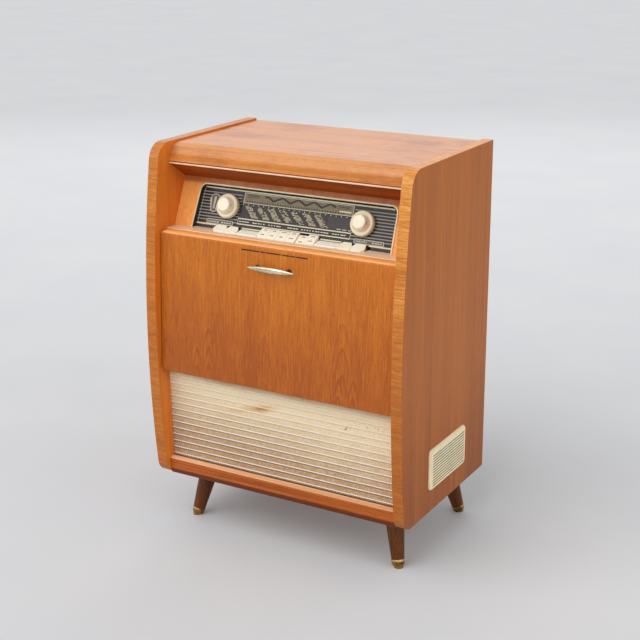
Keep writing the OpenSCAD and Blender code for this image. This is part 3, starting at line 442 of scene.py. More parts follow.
top_wood = wood(
    "top veneer", "x", ((166, 84, 34), (216, 135, 58), (231, 157, 78)), 0.34, 0.5,
    offset=(0.1, 0.0, 0.5), coat=0.3, extra=top_clouds,
    # Paler along the front, where the top starts to round over: painted sheen.
    second=(between(1, -0.109, -0.088, 1.0, 0.0), ((174, 102, 54), (218, 148, 90), (234, 172, 114))))
nose_wood = wood(
    "top edge veneer", "x", ((160, 84, 24), (209, 128, 46), (224, 150, 68)), 0.3, 0.5,
    offset=(0.1, 0.0, 0.5), coat=0.12, shine=0.2, extra=top_clouds,
    second=(nose_sheen_and_pale_edge, ((180, 112, 66), (220, 156, 104), (236, 180, 134))))
fascia_wood = wood(
    "dial board veneer", "z", ((220, 138, 62), (246, 164, 84), (252, 184, 108)), 0.4, 0.7,
    offset=(0.4, 0.1, 0.2),
    # Darker along the board's top, under the recess ceiling: painted shadow of the overhang.
    second=(between(2, 0.7, 0.7075), ((148, 80, 32), (172, 98, 44), (196, 128, 72))))
sill_wood = wood(
    "sill wood", "x", ((218, 134, 54), (246, 168, 84), (253, 192, 116)), 0.5, 0.6,
    offset=(0.3, 0.1, 0.9), coat=0.4, coat_roughness=0.18)
# A paler, pinker copy of the sill's wood for its upward faces: painted sheen, paler still back from the
# front edge.
sill_top_sheen_wood = wood(
    "sill top", "x", ((206, 128, 72), (232, 154, 94), (244, 180, 130)), 0.6, 0.5,
    offset=(0.3, 0.1, 0.9), coat=0.35, coat_roughness=0.15,
    second=(between(1, -0.151, -0.142), ((236, 194, 150), (247, 209, 168), (252, 222, 190))))
rail_wood = wood(
    "rail wood", "x", ((104, 44, 14), (188, 98, 34), (208, 118, 48)), 0.26, 0.6,
    offset=(0.6, 0.5, 0.3), coat=0.08, shine=0.16, extra=rail_foot_painted_shade)
# A paler, pinker copy of the rail's wood for its upward face: painted highlight.
rail_top_highlight_wood = wood(
    "rail top", "x", ((220, 158, 114), (242, 184, 142), (251, 204, 170)), 0.9, 0.6,
    offset=(0.6, 0.5, 0.3), coat=0.3)
# Much darker and redder than the dial board's veneer: painted shade under the top's overhang.
recess_shade_wood = wood(
    "recess board veneer", "x", ((122, 52, 8), (162, 72, 12), (182, 90, 22)), 0.6, 0.6,
    offset=(0.9, 0.3, 0.1), coat=0.03, shine=0.1)
leg_wood = wood(
    "leg wood", "z", ((48, 23, 5), (92, 46, 12), (134, 78, 30)), 0.4, 0.5,
    offset=(0.2, 0.7, 0.4), coat=0.12, coat_roughness=0.25, shine=0.16)
plain_wood = wood(
    "plain inner wood", "x", ((150, 112, 72), (186, 146, 98), (208, 172, 124)), 0.7, 0.9,
    offset=(0.5, 0.9, 0.6), roughness=(0.6, 0.75), coat=0.0, pore=0.3)
under_wood = wood(
    "bottom board wood", "x", ((104, 66, 42), (140, 94, 60), (164, 116, 78)), 0.7, 0.9,
    offset=(0.8, 0.9, 0.2), roughness=(0.58, 0.72), coat=0.0, pore=0.3)
inlay_wood = wood(
    "inlaid dark line", "x", ((36, 20, 14), (62, 38, 28), (176, 112, 64)), 0.4, 0.6,
    offset=(0.4, 0.4, 0.4), coat=0.1, extra=worn_through)


def pressed_board():
    """Dark pressed board with flecks of fibre."""
    material, n, shader = new_material("pressed board")
    fleck = n.noise(n.place(), 900.0, 3, 0.65)
    tone = fleck * 0.7 + n.noise(n.place(), 14.0, 3, 0.6) * 0.3
    n.feed(shader, {
        "Base Color": n.ramp(tone, [(0.36, (62, 42, 28)), (0.5, (104, 76, 50)), (0.66, (140, 108, 74))]),
        "Roughness": n.span(fleck, 0.3, 0.7, 0.66, 0.86),
        "Normal": n.bump(fleck, 0.4, 0.0002)})
    return material


board = pressed_board()


# ---------- plastics, metals and glass ----------

def plastic(name, fresh, aged, roughness, coat, spots=0.25):
    """Moulded plastic that has yellowed in patches and carries fine scratches."""
    material, n, shader = new_material(name)
    wear = n.use(WEAR, Place=n.place(), Scale=2.2)
    base = n.mix(n.ease(wear["Mottle"], 0.36, 0.66), colour(*fresh), aged)
    n.feed(shader, {
        "Base Color": n.mix(wear["Spots"] * spots, base, darker(colour(*aged), 0.55)),
        "Roughness": n.span(wear["Mottle"], 0.3, 0.7, *roughness) + wear["Scratches"] * 0.2,
        "Coat Weight": coat, "Coat Roughness": 0.12, "Specular IOR Level": 0.4,
        "Normal": n.bump(wear["Scratches"], 0.08, 0.0001)})
    return material


def metal(name, bright, dull, roughness, tarnish, metallic=1.0):
    """Plated or painted metal that has gone dull in patches and spots."""
    material, n, shader = new_material(name)
    wear = n.use(WEAR, Place=n.place(), Scale=3.0)
    amount = n.ease(wear["Mottle"], 0.42, 0.66) * tarnish
    amount = n.math("MAXIMUM", amount, wear["Spots"] * tarnish)
    n.feed(shader, {
        "Base Color": n.mix(amount, colour(*bright), dull), "Metallic": metallic,
        "Roughness": n.span(wear["Mottle"], 0.3, 0.7, *roughness) + wear["Scratches"] * 0.15,
        "Normal": n.bump(wear["Scratches"], 0.12, 0.0001)})
    return material


knob_cream = plastic("knob plastic", (242, 233, 210), (234, 223, 196), (0.2, 0.3), 0.3)
ring_cream = plastic("outer knob plastic", (230, 218, 186), (219, 204, 168), (0.22, 0.32), 0.3)
# A whiter copy of the key plastic for the strips between the keys: painted light where they sit in shade.
key_strip_lit_cream = plastic("key strip plastic", (255, 252, 242), (254, 247, 230), (0.24, 0.36), 0.3, 0.2)
key_cream = plastic("key plastic", (254, 249, 232), (250, 241, 216), (0.24, 0.36), 0.3, 0.3)
grille_cream = plastic("grille plastic", (253, 241, 206), (246, 231, 191), (0.3, 0.42), 0.2)
bezel_cream = plastic("bezel plastic", (228, 216, 180), (214, 198, 158), (0.28, 0.4), 0.25)
trim_cream = plastic("lip trim plastic", (240, 214, 186), (228, 196, 164), (0.26, 0.36), 0.3)
deck_plastic = plastic("deck plastic", (206, 190, 154), (192, 174, 134), (0.3, 0.42), 0.3)
arm_plastic = plastic("pickup arm plastic", (236, 226, 198), (226, 212, 176), (0.22, 0.32), 0.45)
# Darker cream for the walls inside the grille's slots: painted shade.
slot_shade = plastic("slot wall plastic", (190, 172, 132), (176, 158, 118), (0.5, 0.6), 0.0)
# Near-black moulding for the mains inlet and the knobs' sunk screws; on the bezel's inner wall it is
# painted shade.
dark_plastic_and_shade = plastic("dark plastic", (38, 33, 30), (48, 41, 36), (0.35, 0.5), 0.2)
rubber = plastic("soft rubber", (30, 29, 29), (40, 38, 37), (0.6, 0.75), 0.0)
pointer_red = plastic("pointer plastic", (186, 62, 38), (170, 52, 34), (0.4, 0.5), 0.2)

brass = metal("brass", (206, 168, 96), (120, 84, 44), (0.18, 0.38), 0.75)
ferrule_brass = metal("ferrule brass", (164, 128, 72), (82, 56, 30), (0.16, 0.32), 0.8)
ferrule_ring = metal("ferrule ring", (236, 196, 130), (196, 150, 90), (0.2, 0.34), 0.5)
handle_metal = metal("handle metal", (228, 220, 194), (160, 148, 116), (0.2, 0.34), 0.6)
# Dark metal for the handle's posts: painted shade under the spindle.
post_shade_metal = metal("handle post metal", (92, 70, 62), (50, 34, 30), (0.3, 0.45), 0.8)
steel = metal("plated steel", (176, 178, 178), (118, 112, 102), (0.26, 0.42), 0.6)
speaker_paint = metal("speaker paint", (84, 86, 88), (58, 56, 54), (0.45, 0.6), 0.6, 0.3)
dark_paint = metal("dark metal paint", (70, 72, 74), (44, 43, 42), (0.5, 0.66), 0.7, 0.2)
platter_paint = metal("platter paint", (126, 128, 128), (96, 94, 90), (0.3, 0.42), 0.5, 0.7)


def valve_glass_material():
    material, n, shader = new_material("valve glass")
    mottle = n.use(WEAR, Place=n.place(), Scale=3.0)["Mottle"]
    n.feed(shader, {"Base Color": colour(222, 228, 228), "Transmission Weight": 0.9, "IOR": 1.47,
                    "Roughness": n.span(mottle, 0.3, 0.7, 0.03, 0.12)})
    return material


valve_glass = valve_glass_material()


def up_board(n, place, foot, degrees):
    """Height up a leaning board, in metres, at a place."""
    return n.vector("DOT_PRODUCT", n.vector("SUBTRACT", place, Vector(foot) * MM), (0, *lean_of(degrees)))


GLASS_GLOSS = {"Specular IOR Level": 0.18, "Coat Weight": 0.1, "Coat Roughness": 0.06}
RIB_FOOT, RIB_PITCH = 0.0168, 0.00605


def dial_ground_material():
    """The glass's dark printed ground: plain in the middle, ribbed at both ends, with a pale line on each
    rib as painted highlight.
    """
    material, n, shader = new_material("dial ground")
    place = n.place()
    height = up_board(n, place, *DIAL)
    phase = n.math("FRACT", (height - RIB_FOOT) / RIB_PITCH)
    side = n.span(abs(n.split(place)[0] - 0.001), 0.1225, 0.1235)
    inside = n.span(height, 0.0145, 0.0155) * n.span(height, 0.0768, 0.0776, 1.0, 0.0)
    # A pale line on each rib: painted highlight.
    rib = n.ease(phase, 0.08, 0.26) * n.ease(phase, 0.44, 0.62, 1.0, 0.0) * side * inside
    cloud = n.noise(place, 60.0, 3, 0.6)
    ground = n.mix(n.span(cloud, 0.3, 0.7), colour(44, 41, 42), (54, 50, 50))
    ground = n.mix(side * inside * 0.8, ground, (20, 19, 20))
    # A near-black strip along the top, under the bezel's upper edge: painted shadow.
    ground = n.mix(n.span(height, 0.084, 0.0846), ground, (4, 3, 3))
    n.feed(shader, {
        "Base Color": n.mix(rib, ground, (144, 138, 128)), **GLASS_GLOSS,
        "Roughness": n.span(cloud, 0.3, 0.7, 0.2, 0.32),
        "Normal": n.bump(rib * -1.0, 0.1, 0.0002)})
    return material


def print_material(name, tint, spread):
    """Screen-printed colour on the dial glass, slightly uneven."""
    material, n, shader = new_material(name)
    mottle = n.use(WEAR, Place=n.place(), Scale=6.0)["Mottle"]
    n.feed(shader, {
        "Base Color": n.mix(n.span(mottle, 0.35, 0.65), darker(colour(*tint), 1 - spread), tint),
        "Roughness": n.span(mottle, 0.3, 0.7, 0.24, 0.36), **GLASS_GLOSS})
    return material


dial_ground = dial_ground_material()
gold_print = print_material("gold print", (128, 117, 90), 0.14)
mark_print = print_material("station mark print", (178, 168, 138), 0.25)
cream_print = print_material("cream print", (222, 210, 176), 0.1)
white_print = print_material("white print", (224, 219, 202), 0.08)
dark_print = print_material("dark print", (44, 40, 40), 0.12)
grey_print = print_material("grey print", (64, 60, 60), 0.06)
window_print = print_material("window print", (186, 180, 162), 0.1)
screen_print = print_material("screen print", (92, 86, 80), 0.12)
key_print = print_material("key print", (150, 130, 104), 0.2)


# ---------- cloth and cord ----------

# Each stain's place across and up, half width, half height, tilt, strength and colour.
STAINS = ((-0.048, 0.2875, 0.054, 0.011, 0.2, 0.62, (208, 152, 80)),
          (-0.042, 0.2893, 0.021, 0.005, 0.2, 0.7, (168, 108, 46)),
          (-0.100, 0.2735, 0.032, 0.006, 0.1, 0.45, (214, 160, 98)))
# Each speck's place across and up, and its radius.
SPECKS = ((0.1435, 0.2835, 0.0015), (0.1455, 0.2855, 0.0015), (0.1475, 0.2885, 0.0012),
          (0.149, 0.2915, 0.001), (0.1545, 0.288, 0.0008), (0.1835, 0.292, 0.0009),
          (0.1905, 0.2965, 0.0012), (0.195, 0.2935, 0.0007), (0.2075, 0.3005, 0.0008),
          (0.2135, 0.2985, 0.001), (0.13, 0.300, 0.0007), (0.222, 0.296, 0.0007))


def cords_up(n, place):
    """Height up the loudspeaker cloth, in cord pitches from its first cord."""
    return (up_board(n, place, *CLOTH) - CORD_FIRST * MM) / (CORD_PITCH * MM)


def cloth_material():
    """Tan woven cloth, bleached towards the top, with painted shadow under each cord and along its top
    under the flap, and one old stain.
    """
    material, n, shader = new_material("loudspeaker cloth")
    place = n.place()
    x, _, z = n.split(place)
    weave = n.use(WEAVE, Place=place, Pitch=0.0017)
    drift = (n.noise(place, (5, 5, 16), 3, 0.6) - 0.5) * 0.08
    bleach = n.ease(n.math("MULTIPLY_ADD", x, 0.09, z) + drift, 0.165, 0.31)
    base = n.mix(bleach, colour(172, 128, 86), (248, 227, 188))
    base = n.mix(weave["Gap"] * n.span(bleach, 0, 1, 0.6, 0.25), base, (112, 78, 50))
    base = n.mix(n.span(weave["Slub"], 0.35, 0.7, 0.0, 0.35), base, (236, 212, 170))
    coarse = n.noise(place, (300, 120, 420), 2, 0.8)
    base = n.mix(n.span(coarse, 0.5, 0.64, 0.0, 0.3), base, (250, 234, 202))
    base = n.mix(n.span(coarse, 0.5, 0.36, 0.0, 0.34), base, (142, 104, 70))

    turn = n.math("FRACT", cords_up(n, place))
    # Painted shadow under each cord, weaker where the cloth is bleached and none at the very foot.
    under = n.ease(turn, 0.66, 0.82) * n.span(turn, 0.94, 1.0, 1.0, 0.0)
    under = under * n.span(up_board(n, place, *CLOTH), 0.0005, 0.001)
    base = n.mix(under * n.span(bleach, 0, 0.8, 0.9, 0.2), base, (108, 64, 46))
    # A darker tan band along the cloth's top, just under the flap: painted shadow.
    base = n.mix(n.ease(z + drift * 0.2, 0.318, 0.336, 0.0, 0.85), base, (168, 118, 66))

    ragged = (n.noise(place, 80.0, 3, 0.7) - 0.5) * 1.1
    for across, up, width, height, tilt, strength, tint in STAINS:
        off = x - across
        rise = n.math("MULTIPLY_ADD", off, -tilt, z) - up
        far = n.vector("LENGTH", n.join(off / width, 0.0, rise / height))
        base = n.mix(n.ease(far + ragged, 0.3, 1.1, strength, 0.0), base, tint)
    spotted = 0.0
    for across, up, radius in SPECKS:
        far = n.vector("LENGTH", n.join(x - across, 0.0, z - up))
        spotted = n.math("MAXIMUM", spotted, n.span(far, 0.6 * radius, 1.3 * radius, 0.85, 0.0))
    n.feed(shader, {
        "Base Color": n.mix(spotted, base, (96, 62, 44)),
        "Roughness": n.span(weave["Height"], 0.2, 1.0, 0.92, 0.78),
        "Normal": n.bump(weave["Height"], 0.8, 0.0004),
        "Sheen Weight": 0.12, "Sheen Roughness": 0.5})
    return material


def cord_material():
    """White cord of the cloth, with the fine fibres of each ply and painted shade in the crevices between
    its plies.
    """
    material, n, shader = new_material("cloth cord")
    place = n.place()
    fibre = n.noise(place, (1900, 1900, 2600), 2, 0.6)
    soil = n.noise(place, (24, 24, 60), 3, 0.6)
    row = n.math("ROUND", cords_up(n, place))
    lay = n.math("MULTIPLY_ADD", row, CORD_SHIFT * MM, n.split(place)[0]) / (CORD_LAY * MM)
    crevice = abs(n.math("SINE", lay * (2 * math.pi)))
    base = n.mix(n.span(fibre, 0.3, 0.7), colour(252, 246, 232), (255, 254, 251))
    # Painted shade in the crevices where the plies cross.
    base = n.mix(n.ease(crevice, 0.4, 0.12, 0.0, 0.9), base, (120, 82, 58))
    n.feed(shader, {
        "Base Color": n.mix(n.span(soil, 0.5, 0.75, 0.0, 0.3), base, (230, 208, 176)),
        "Roughness": n.span(fibre, 0.3, 0.7, 0.7, 0.88),
        "Normal": n.bump(fibre, 0.5, 0.0002), "Sheen Weight": 0.25})
    return material


cloth_tan, cord_white = cloth_material(), cord_material()


# ---------- building ----------

def placed(name, data):
    """Puts an object with this mesh, lamp or camera into the scene."""
    holder = bpy.data.objects.new(name, data)
    bpy.context.scene.collection.objects.link(holder)
    return holder


def new_piece(name, mesh, body, materials, replaces=()):
    """Puts a mesh that is already in the shared frame into the scene, riding on a body."""
    piece = placed(name, mesh)
    for material in materials if isinstance(materials, (list, tuple)) else [materials]:
        piece.data.materials.append(material)
    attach(piece, body)
    if replaces:
        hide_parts(*replaces)
    return piece


def even_normals(piece, degrees=35):
    """Smooth shading that leaves flat faces flat."""
    piece.data.shade_smooth()
    piece.data.set_sharp_from_angle(angle=math.radians(degrees))
    weighted = piece.modifiers.new("even normals", "WEIGHTED_NORMAL")
    weighted.keep_sharp = True
    return piece


def narrow_back(bm, crease, back, amount):
    """Draws in a key's two back corners, from its crease to its back edge; all in mm."""
    bmesh.ops.bisect_plane(bm, geom=bm.verts[:] + bm.edges[:] + bm.faces[:],
                           plane_co=(0, crease * MM, 0), plane_no=(0, 1, 0))
    head = [v for v in bm.verts if v.co.y < crease * MM]
    low, high = min(v.co.x for v in head), max(v.co.x for v in head)
    for vertex in bm.verts:
        if vertex.co.y > back * MM:
            if abs(vertex.co.x - low) < 0.5 * MM:
                vertex.co.x += amount * MM
            elif abs(vertex.co.x - high) < 0.5 * MM:
                vertex.co.x -= amount * MM


def softened(node, materials, bevel, segments=2, sharp=32, choose=None, narrow=None):
    """Stands in for a CAD node with the same solid, its edges sharper than sharp degrees rounded by
    bevel mm. narrow draws in a key's back corners, and choose gives each face its material."""
    source = nodes[node]
    mesh = bpy.data.meshes.new(node + "_shaped")
    bm = bmesh.new()
    bm.from_mesh(source.data)
    bmesh.ops.remove_doubles(bm, verts=bm.verts, dist=2e-6)
    bmesh.ops.dissolve_limit(bm, angle_limit=math.radians(0.4), verts=bm.verts, edges=bm.edges)
    bmesh.ops.recalc_face_normals(bm, faces=bm.faces)
    if narrow:
        narrow_back(bm, *narrow)
    if bevel:
        limit = math.radians(sharp)
        edges = [e for e in bm.edges if e.is_manifold and e.calc_face_angle(0.0) > limit]
        bmesh.ops.bevel(bm, geom=edges, offset=bevel * MM, offset_type="OFFSET", segments=segments,
                        profile=0.5, affect="EDGES", clamp_overlap=True)
    for face in bm.faces:
        face.material_index = choose(face.calc_center_median() / MM, face.normal) if choose else 0
    bm.to_mesh(mesh)
    bm.free()
    return even_normals(new_piece(node + "_shaped", mesh, source["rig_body"], materials, [node]))


def mesh_of(name, points, faces):
    """A mesh from points in metres and the faces' numbers."""
    mesh = bpy.data.meshes.new(name)
    mesh.from_pydata([tuple(point) for point in points], [], faces)
    mesh.validate()
    return mesh


def facing_out(mesh):
    """Turns every face of a closed mesh outwards."""
    bm = bmesh.new()
    bm.from_mesh(mesh)
    bmesh.ops.recalc_face_normals(bm, faces=bm.faces)
    bm.to_mesh(mesh)
    bm.free()
    return mesh


def between_rings(rings, around, closed=True, start=0):
    """Faces between rings, or rows, of points that follow each other from number start."""
    faces = []
    for i in range(rings - 1):
        a, b = start + i * around, start + (i + 1) * around
        for k in range(around if closed else around - 1):
            j = (k + 1) % around
            faces.append((a + k, a + j, b + j, b + k))
    return faces


def turned(profile, steps, place):
    """Points and faces of a turned form. profile is a list of (radius, depth) in mm, and place turns
    (across, depth, up) in mm into a point in the frame."""
    points, faces, rings = [], [], []
    for radius, depth in profile:
        if radius < 1e-6:
            rings.append([len(points)])
            points.append(place(0, depth, 0))
        else:
            rings.append(list(range(len(points), len(points) + steps)))
            for i in range(steps):
                angle = 2 * math.pi * i / steps
                points.append(place(radius * math.cos(angle), depth, radius * math.sin(angle)))
    for a, b in zip(rings, rings[1:]):
        for i in range(steps):
            j = (i + 1) % steps
            corners = (a[i % len(a)], a[j % len(a)], b[j % len(b)], b[i % len(b)])
            face = tuple(dict.fromkeys(corners))
            if len(face) > 2:
                faces.append(face)
    return points, faces


def turned_piece(name, profile, place, body, material, replaces=(), steps=128):
    """A closed turned form as a piece of its own."""
    mesh = facing_out(mesh_of(name, *turned(profile, steps, place)))
    return even_normals(new_piece(name, mesh, body, material, replaces), 40)


def arc(centre, radius, start, end, count):
    """(radius, depth) points of an arc of a turned profile, angles in degrees."""
    angles = [math.radians(start + (end - start) * i / count) for i in range(count + 1)]
    return [(centre[0] + radius * math.cos(a), centre[1] + radius * math.sin(a)) for a in angles]


class Prints:
    """Flat printed marks on the dial, gathered into one mesh for each colour."""

    def __init__(self, name, material, lift):
        self.name, self.material, self.depth = name, material, GLASS_FACE - lift
        self.points, self.faces = [], []

    def shape(self, outline):
        start = len(self.points)
        self.points += [on_dial(x, self.depth, s) for x, s in outline]
        self.faces.append(tuple(range(start, start + len(outline))))

    def bar(self, x0, s0, x1, s1):
        self.shape([(x0, s0), (x1, s0), (x1, s1), (x0, s1)])

    def stroke(self, path, width):
        """A mitred line of even width along path."""
        sides = []
        for i, (x, s) in enumerate(path):
            before = Vector(path[max(i - 1, 0)])
            after = Vector(path[min(i + 1, len(path) - 1)])
            here = Vector((x, s))
            a = (here - before).normalized() if i else (after - here).normalized()
            b = (after - here).normalized() if i < len(path) - 1 else a
            mid = (a + b).normalized()
            normal = Vector((-mid.y, mid.x))
            reach = width / 2 / max(0.35, abs(normal.dot(Vector((-a.y, a.x)))))
            sides.append((here + normal * reach, here - normal * reach))
        for (a, b), (c, d) in zip(sides, sides[1:]):
            self.shape([b, d, c, a])

    def frame(self, x0, s0, x1, s1, width, corner):
        self.stroke([(x0 + corner, s0), (x1 - corner, s0), (x1, s0 + corner),
                     (x1, s1 - corner), (x1 - corner, s1), (x0 + corner, s1),
                     (x0, s1 - corner), (x0, s0 + corner), (x0 + corner, s0)], width)

    def disc(self, x, s, radius):
        angles = [2 * math.pi * i / 12 for i in range(12)]
        self.shape([(x + radius * math.cos(a), s + radius * math.sin(a)) for a in angles])

    def done(self):
        new_piece(self.name, mesh_of(self.name, self.points, self.faces), "cabinet",
                  self.material)


# ---------- carcass ----------

def panel_face(centre, normal):
    """0 for a side panel's outer face, 1 for its inner face, 2 for its edge strip."""
    if abs(normal.x) > 0.8:
        return int(normal.x * centre.x < 0)
    return 2


def bezel_face(centre, normal):
    """0 for the bezel's flange, 1 for its inner wall, in the near-black material as painted shade, 2 for
    the flat pieces between the keys, in a whiter copy of the key plastic as painted light.
    """
    foot, degrees = DIAL
    sine, cosine = lean_of(degrees)
    y, z = centre.y - foot[1], centre.z - foot[2]
    depth, slope = y * cosine - z * sine, y * sine + z * cosine
    if slope < KEY_STRIP_S and abs(centre.x) < KEY_STRIP_HALF:
        return 2
    return int(depth > 0.4)


def upper_face(centre, normal):
    """1 for the faces that look up, 0 for the rest."""
    return int(normal.z > 0.6)


def rounded_top(centre, normal):
    """1 for the flap's rounded upper edge, which takes a paler copy of the veneer as painted highlight, 0
    for the rest.
    """
    return int(normal.z > 0.45 and centre.z > FLAP_EDGE)


def ferrule_face(centre, normal):
    """1 for the bright upper rim of a leg's ferrule, 0 for the rest."""
    return int(centre.z > FERRULE_TOP - 1.2 and abs(normal.z) < 0.98)


def slot_face(centre, normal):
    """1 for the walls of a side grille's slots, which take a darker plastic as painted shade, 0 for the
    rest.
    """
    inside = abs(centre.y - SLOTS_Y) < SLOTS_HALF_Y and abs(centre.z - SLOTS_Z) < SLOTS_HALF_Z
    return int(inside and abs(normal.x) < 0.6)


for side in ("left", "right"):
    softened("side_panel_" + side, [side_wood, inner_wood, edge_wood], 2.0, 4,
             choose=panel_face)
softened("top_panel", [nose_wood, top_wood], 0.4, choose=upper_face)
softened("lip_trim", trim_cream, 0.7)
softened("recess_ceiling", recess_shade_wood, 0)
softened("dial_fascia", fascia_wood, 0.5)
softened("sill_board", [sill_wood, sill_top_sheen_wood], 1.6, 3, choose=upper_face)
softened("bottom_rail", [rail_wood, rail_top_highlight_wood], 0.8, 3, choose=upper_face)
softened("flap_door", [flap_wood, flap_top_highlight_wood], 0.7, choose=rounded_top)
softened("legs", leg_wood, 0)
softened("leg_fittings", [ferrule_brass, ferrule_ring], 0.4, choose=ferrule_face)
softened("side_grilles", [grille_cream, slot_shade], 0.3, choose=slot_face)
softened("dial_bezel", [bezel_cream, dark_plastic_and_shade, key_strip_lit_cream], 0.35,
         choose=bezel_face)
for material, kept_nodes in (
        (plain_wood, ("radio_shelf", "motor_board", "compartment_floor", "shelf_rails")),
        (under_wood, ("bottom_board",)),
        (board, ("speaker_baffle", "back_panel")),
        (brass, ("back_screws", "flap_bearings", "flap_fittings", "stay_swivels")),
        (steel, ("flap_catch", "stay_rods", "control_frame", "radio_chassis", "deck_motor")),
        (inlay_wood, ("flap_inlay",)), (valve_glass, ("valves",)), (pointer_red, ("dial_pointer",)),
        (dark_paint, ("chassis_components",)), (dark_plastic_and_shade, ("mains_inlet",)),
        (speaker_paint, ("woofer", "side_speakers")), (rubber, ("deck_mounts",))):
    for node in kept_nodes:
        for holder in nodes[node].material_slots:
            holder.material = material


# ---------- flap handle ----------

def handle():
    """A pale spindle of a handle on two thin posts."""
    half_length, half_height, half_depth, reach, centre_x, up = 51, 6.2, 4.4, 12.7, 0.6, 238.5
    post = [(0, 0), (5, 0), (5, -0.7), (4.4, -1.2), (2.3, -1.4), (2.0, -2.2), (2.0, -reach), (0, -reach)]
    steps, sections = 36, 64
    points = []
    for i in range(sections + 1):
        t = -1 + 2 * i / sections
        swell = max(1 - t * t, 0.0) ** 0.8 + 0.015
        for k in range(steps):
            angle = 2 * math.pi * k / steps
            c, s = math.cos(angle), math.sin(angle)
            ridge = 0.9 + 0.1 * abs(c)
            groove = 1 - 0.14 * math.exp(-(s / 0.16) ** 2)
            depth = half_depth * swell * groove * abs(c) ** 0.9 * (1 if c > 0 else -1)
            points.append(on_flap(centre_x + half_length * t, depth - reach,
                                  up + half_height * swell * s * ridge))
    faces = between_rings(sections + 1, steps)
    faces.append(tuple(range(steps)))
    faces.append(tuple(range(sections * steps, (sections + 1) * steps)))
    spindle_faces = len(faces)
    for x in (-34, 34):
        more, sides = turned(post, 24, lambda a, d, b, x=x: on_flap(centre_x + x + a, d, up + b))
        faces += [tuple(len(points) + v for v in face) for face in sides]
        points += more
    mesh = mesh_of("flap_handle_spindle", points, faces)
    # The posts take the dark metal: painted shade under the spindle.
    for polygon in list(mesh.polygons)[spindle_faces:]:
        polygon.material_index = 1
    even_normals(new_piece("flap_handle_spindle", facing_out(mesh), "flap",
                           [handle_metal, post_shade_metal], ["flap_handle"]), 50)


handle()


# ---------- loudspeaker cloth ----------

def speaker_cloth():
    """The stretched cloth, drawn slightly towards the viewer where each cord runs."""
    half, low, high = PANEL_INNER - 0.3, -4.0, 192.0
    columns, rows = 24, 280
    points = []
    for j in range(rows + 1):
        s = low + (high - low) * j / rows
        turn = (s - CORD_FIRST) / CORD_PITCH
        near = abs(turn - round(turn)) * CORD_PITCH
        lift = 0.45 * math.exp(-(near / 1.6) ** 2)
        for i in range(columns + 1):
            points.append(on_cloth(-half + 2 * half * i / columns, 1.5 - lift, s))
    mesh = mesh_of("speaker_cloth_weave", points, between_rings(rows + 1, columns + 1, closed=False))
    piece = new_piece("speaker_cloth_weave", mesh, "cabinet", cloth_tan, ["speaker_cloth"])
    piece.data.shade_smooth()
    return piece


def speaker_cords():
    """White two-ply cords laid across the cloth."""
    half, radius, offset = PANEL_INNER - 0.5, 0.66, 0.62
    per_turn, around = 12, 5
    sections = int(2 * half / CORD_LAY * per_turn)
    points, faces = [], []
    for row in range(CORD_COUNT):
        s = CORD_FIRST + CORD_PITCH * row
        shift = row * CORD_SHIFT
        for ply in (0, math.pi):
            start = len(points)
            for i in range(sections + 1):
                x = -half + 2 * half * i / sections
                turn = 2 * math.pi * (x + shift) / CORD_LAY + ply
                centre = (-0.05 - offset * math.cos(turn), s + offset * math.sin(turn))
                for k in range(around):
                    angle = 2 * math.pi * k / around
                    points.append(on_cloth(x, centre[0] + radius * math.cos(angle) + 0.6,
                                           centre[1] + radius * math.sin(angle)))
            faces += between_rings(sections + 1, around, start=start)
    piece = new_piece("speaker_cloth_cords", mesh_of("speaker_cloth_cords", points, faces),
                      "cabinet", cord_white)
    piece.data.shade_smooth()
    return piece


cloth, cords = speaker_cloth(), speaker_cords()


# ---------- dial ----------

softened("dial_glass", dial_ground, 0.25)


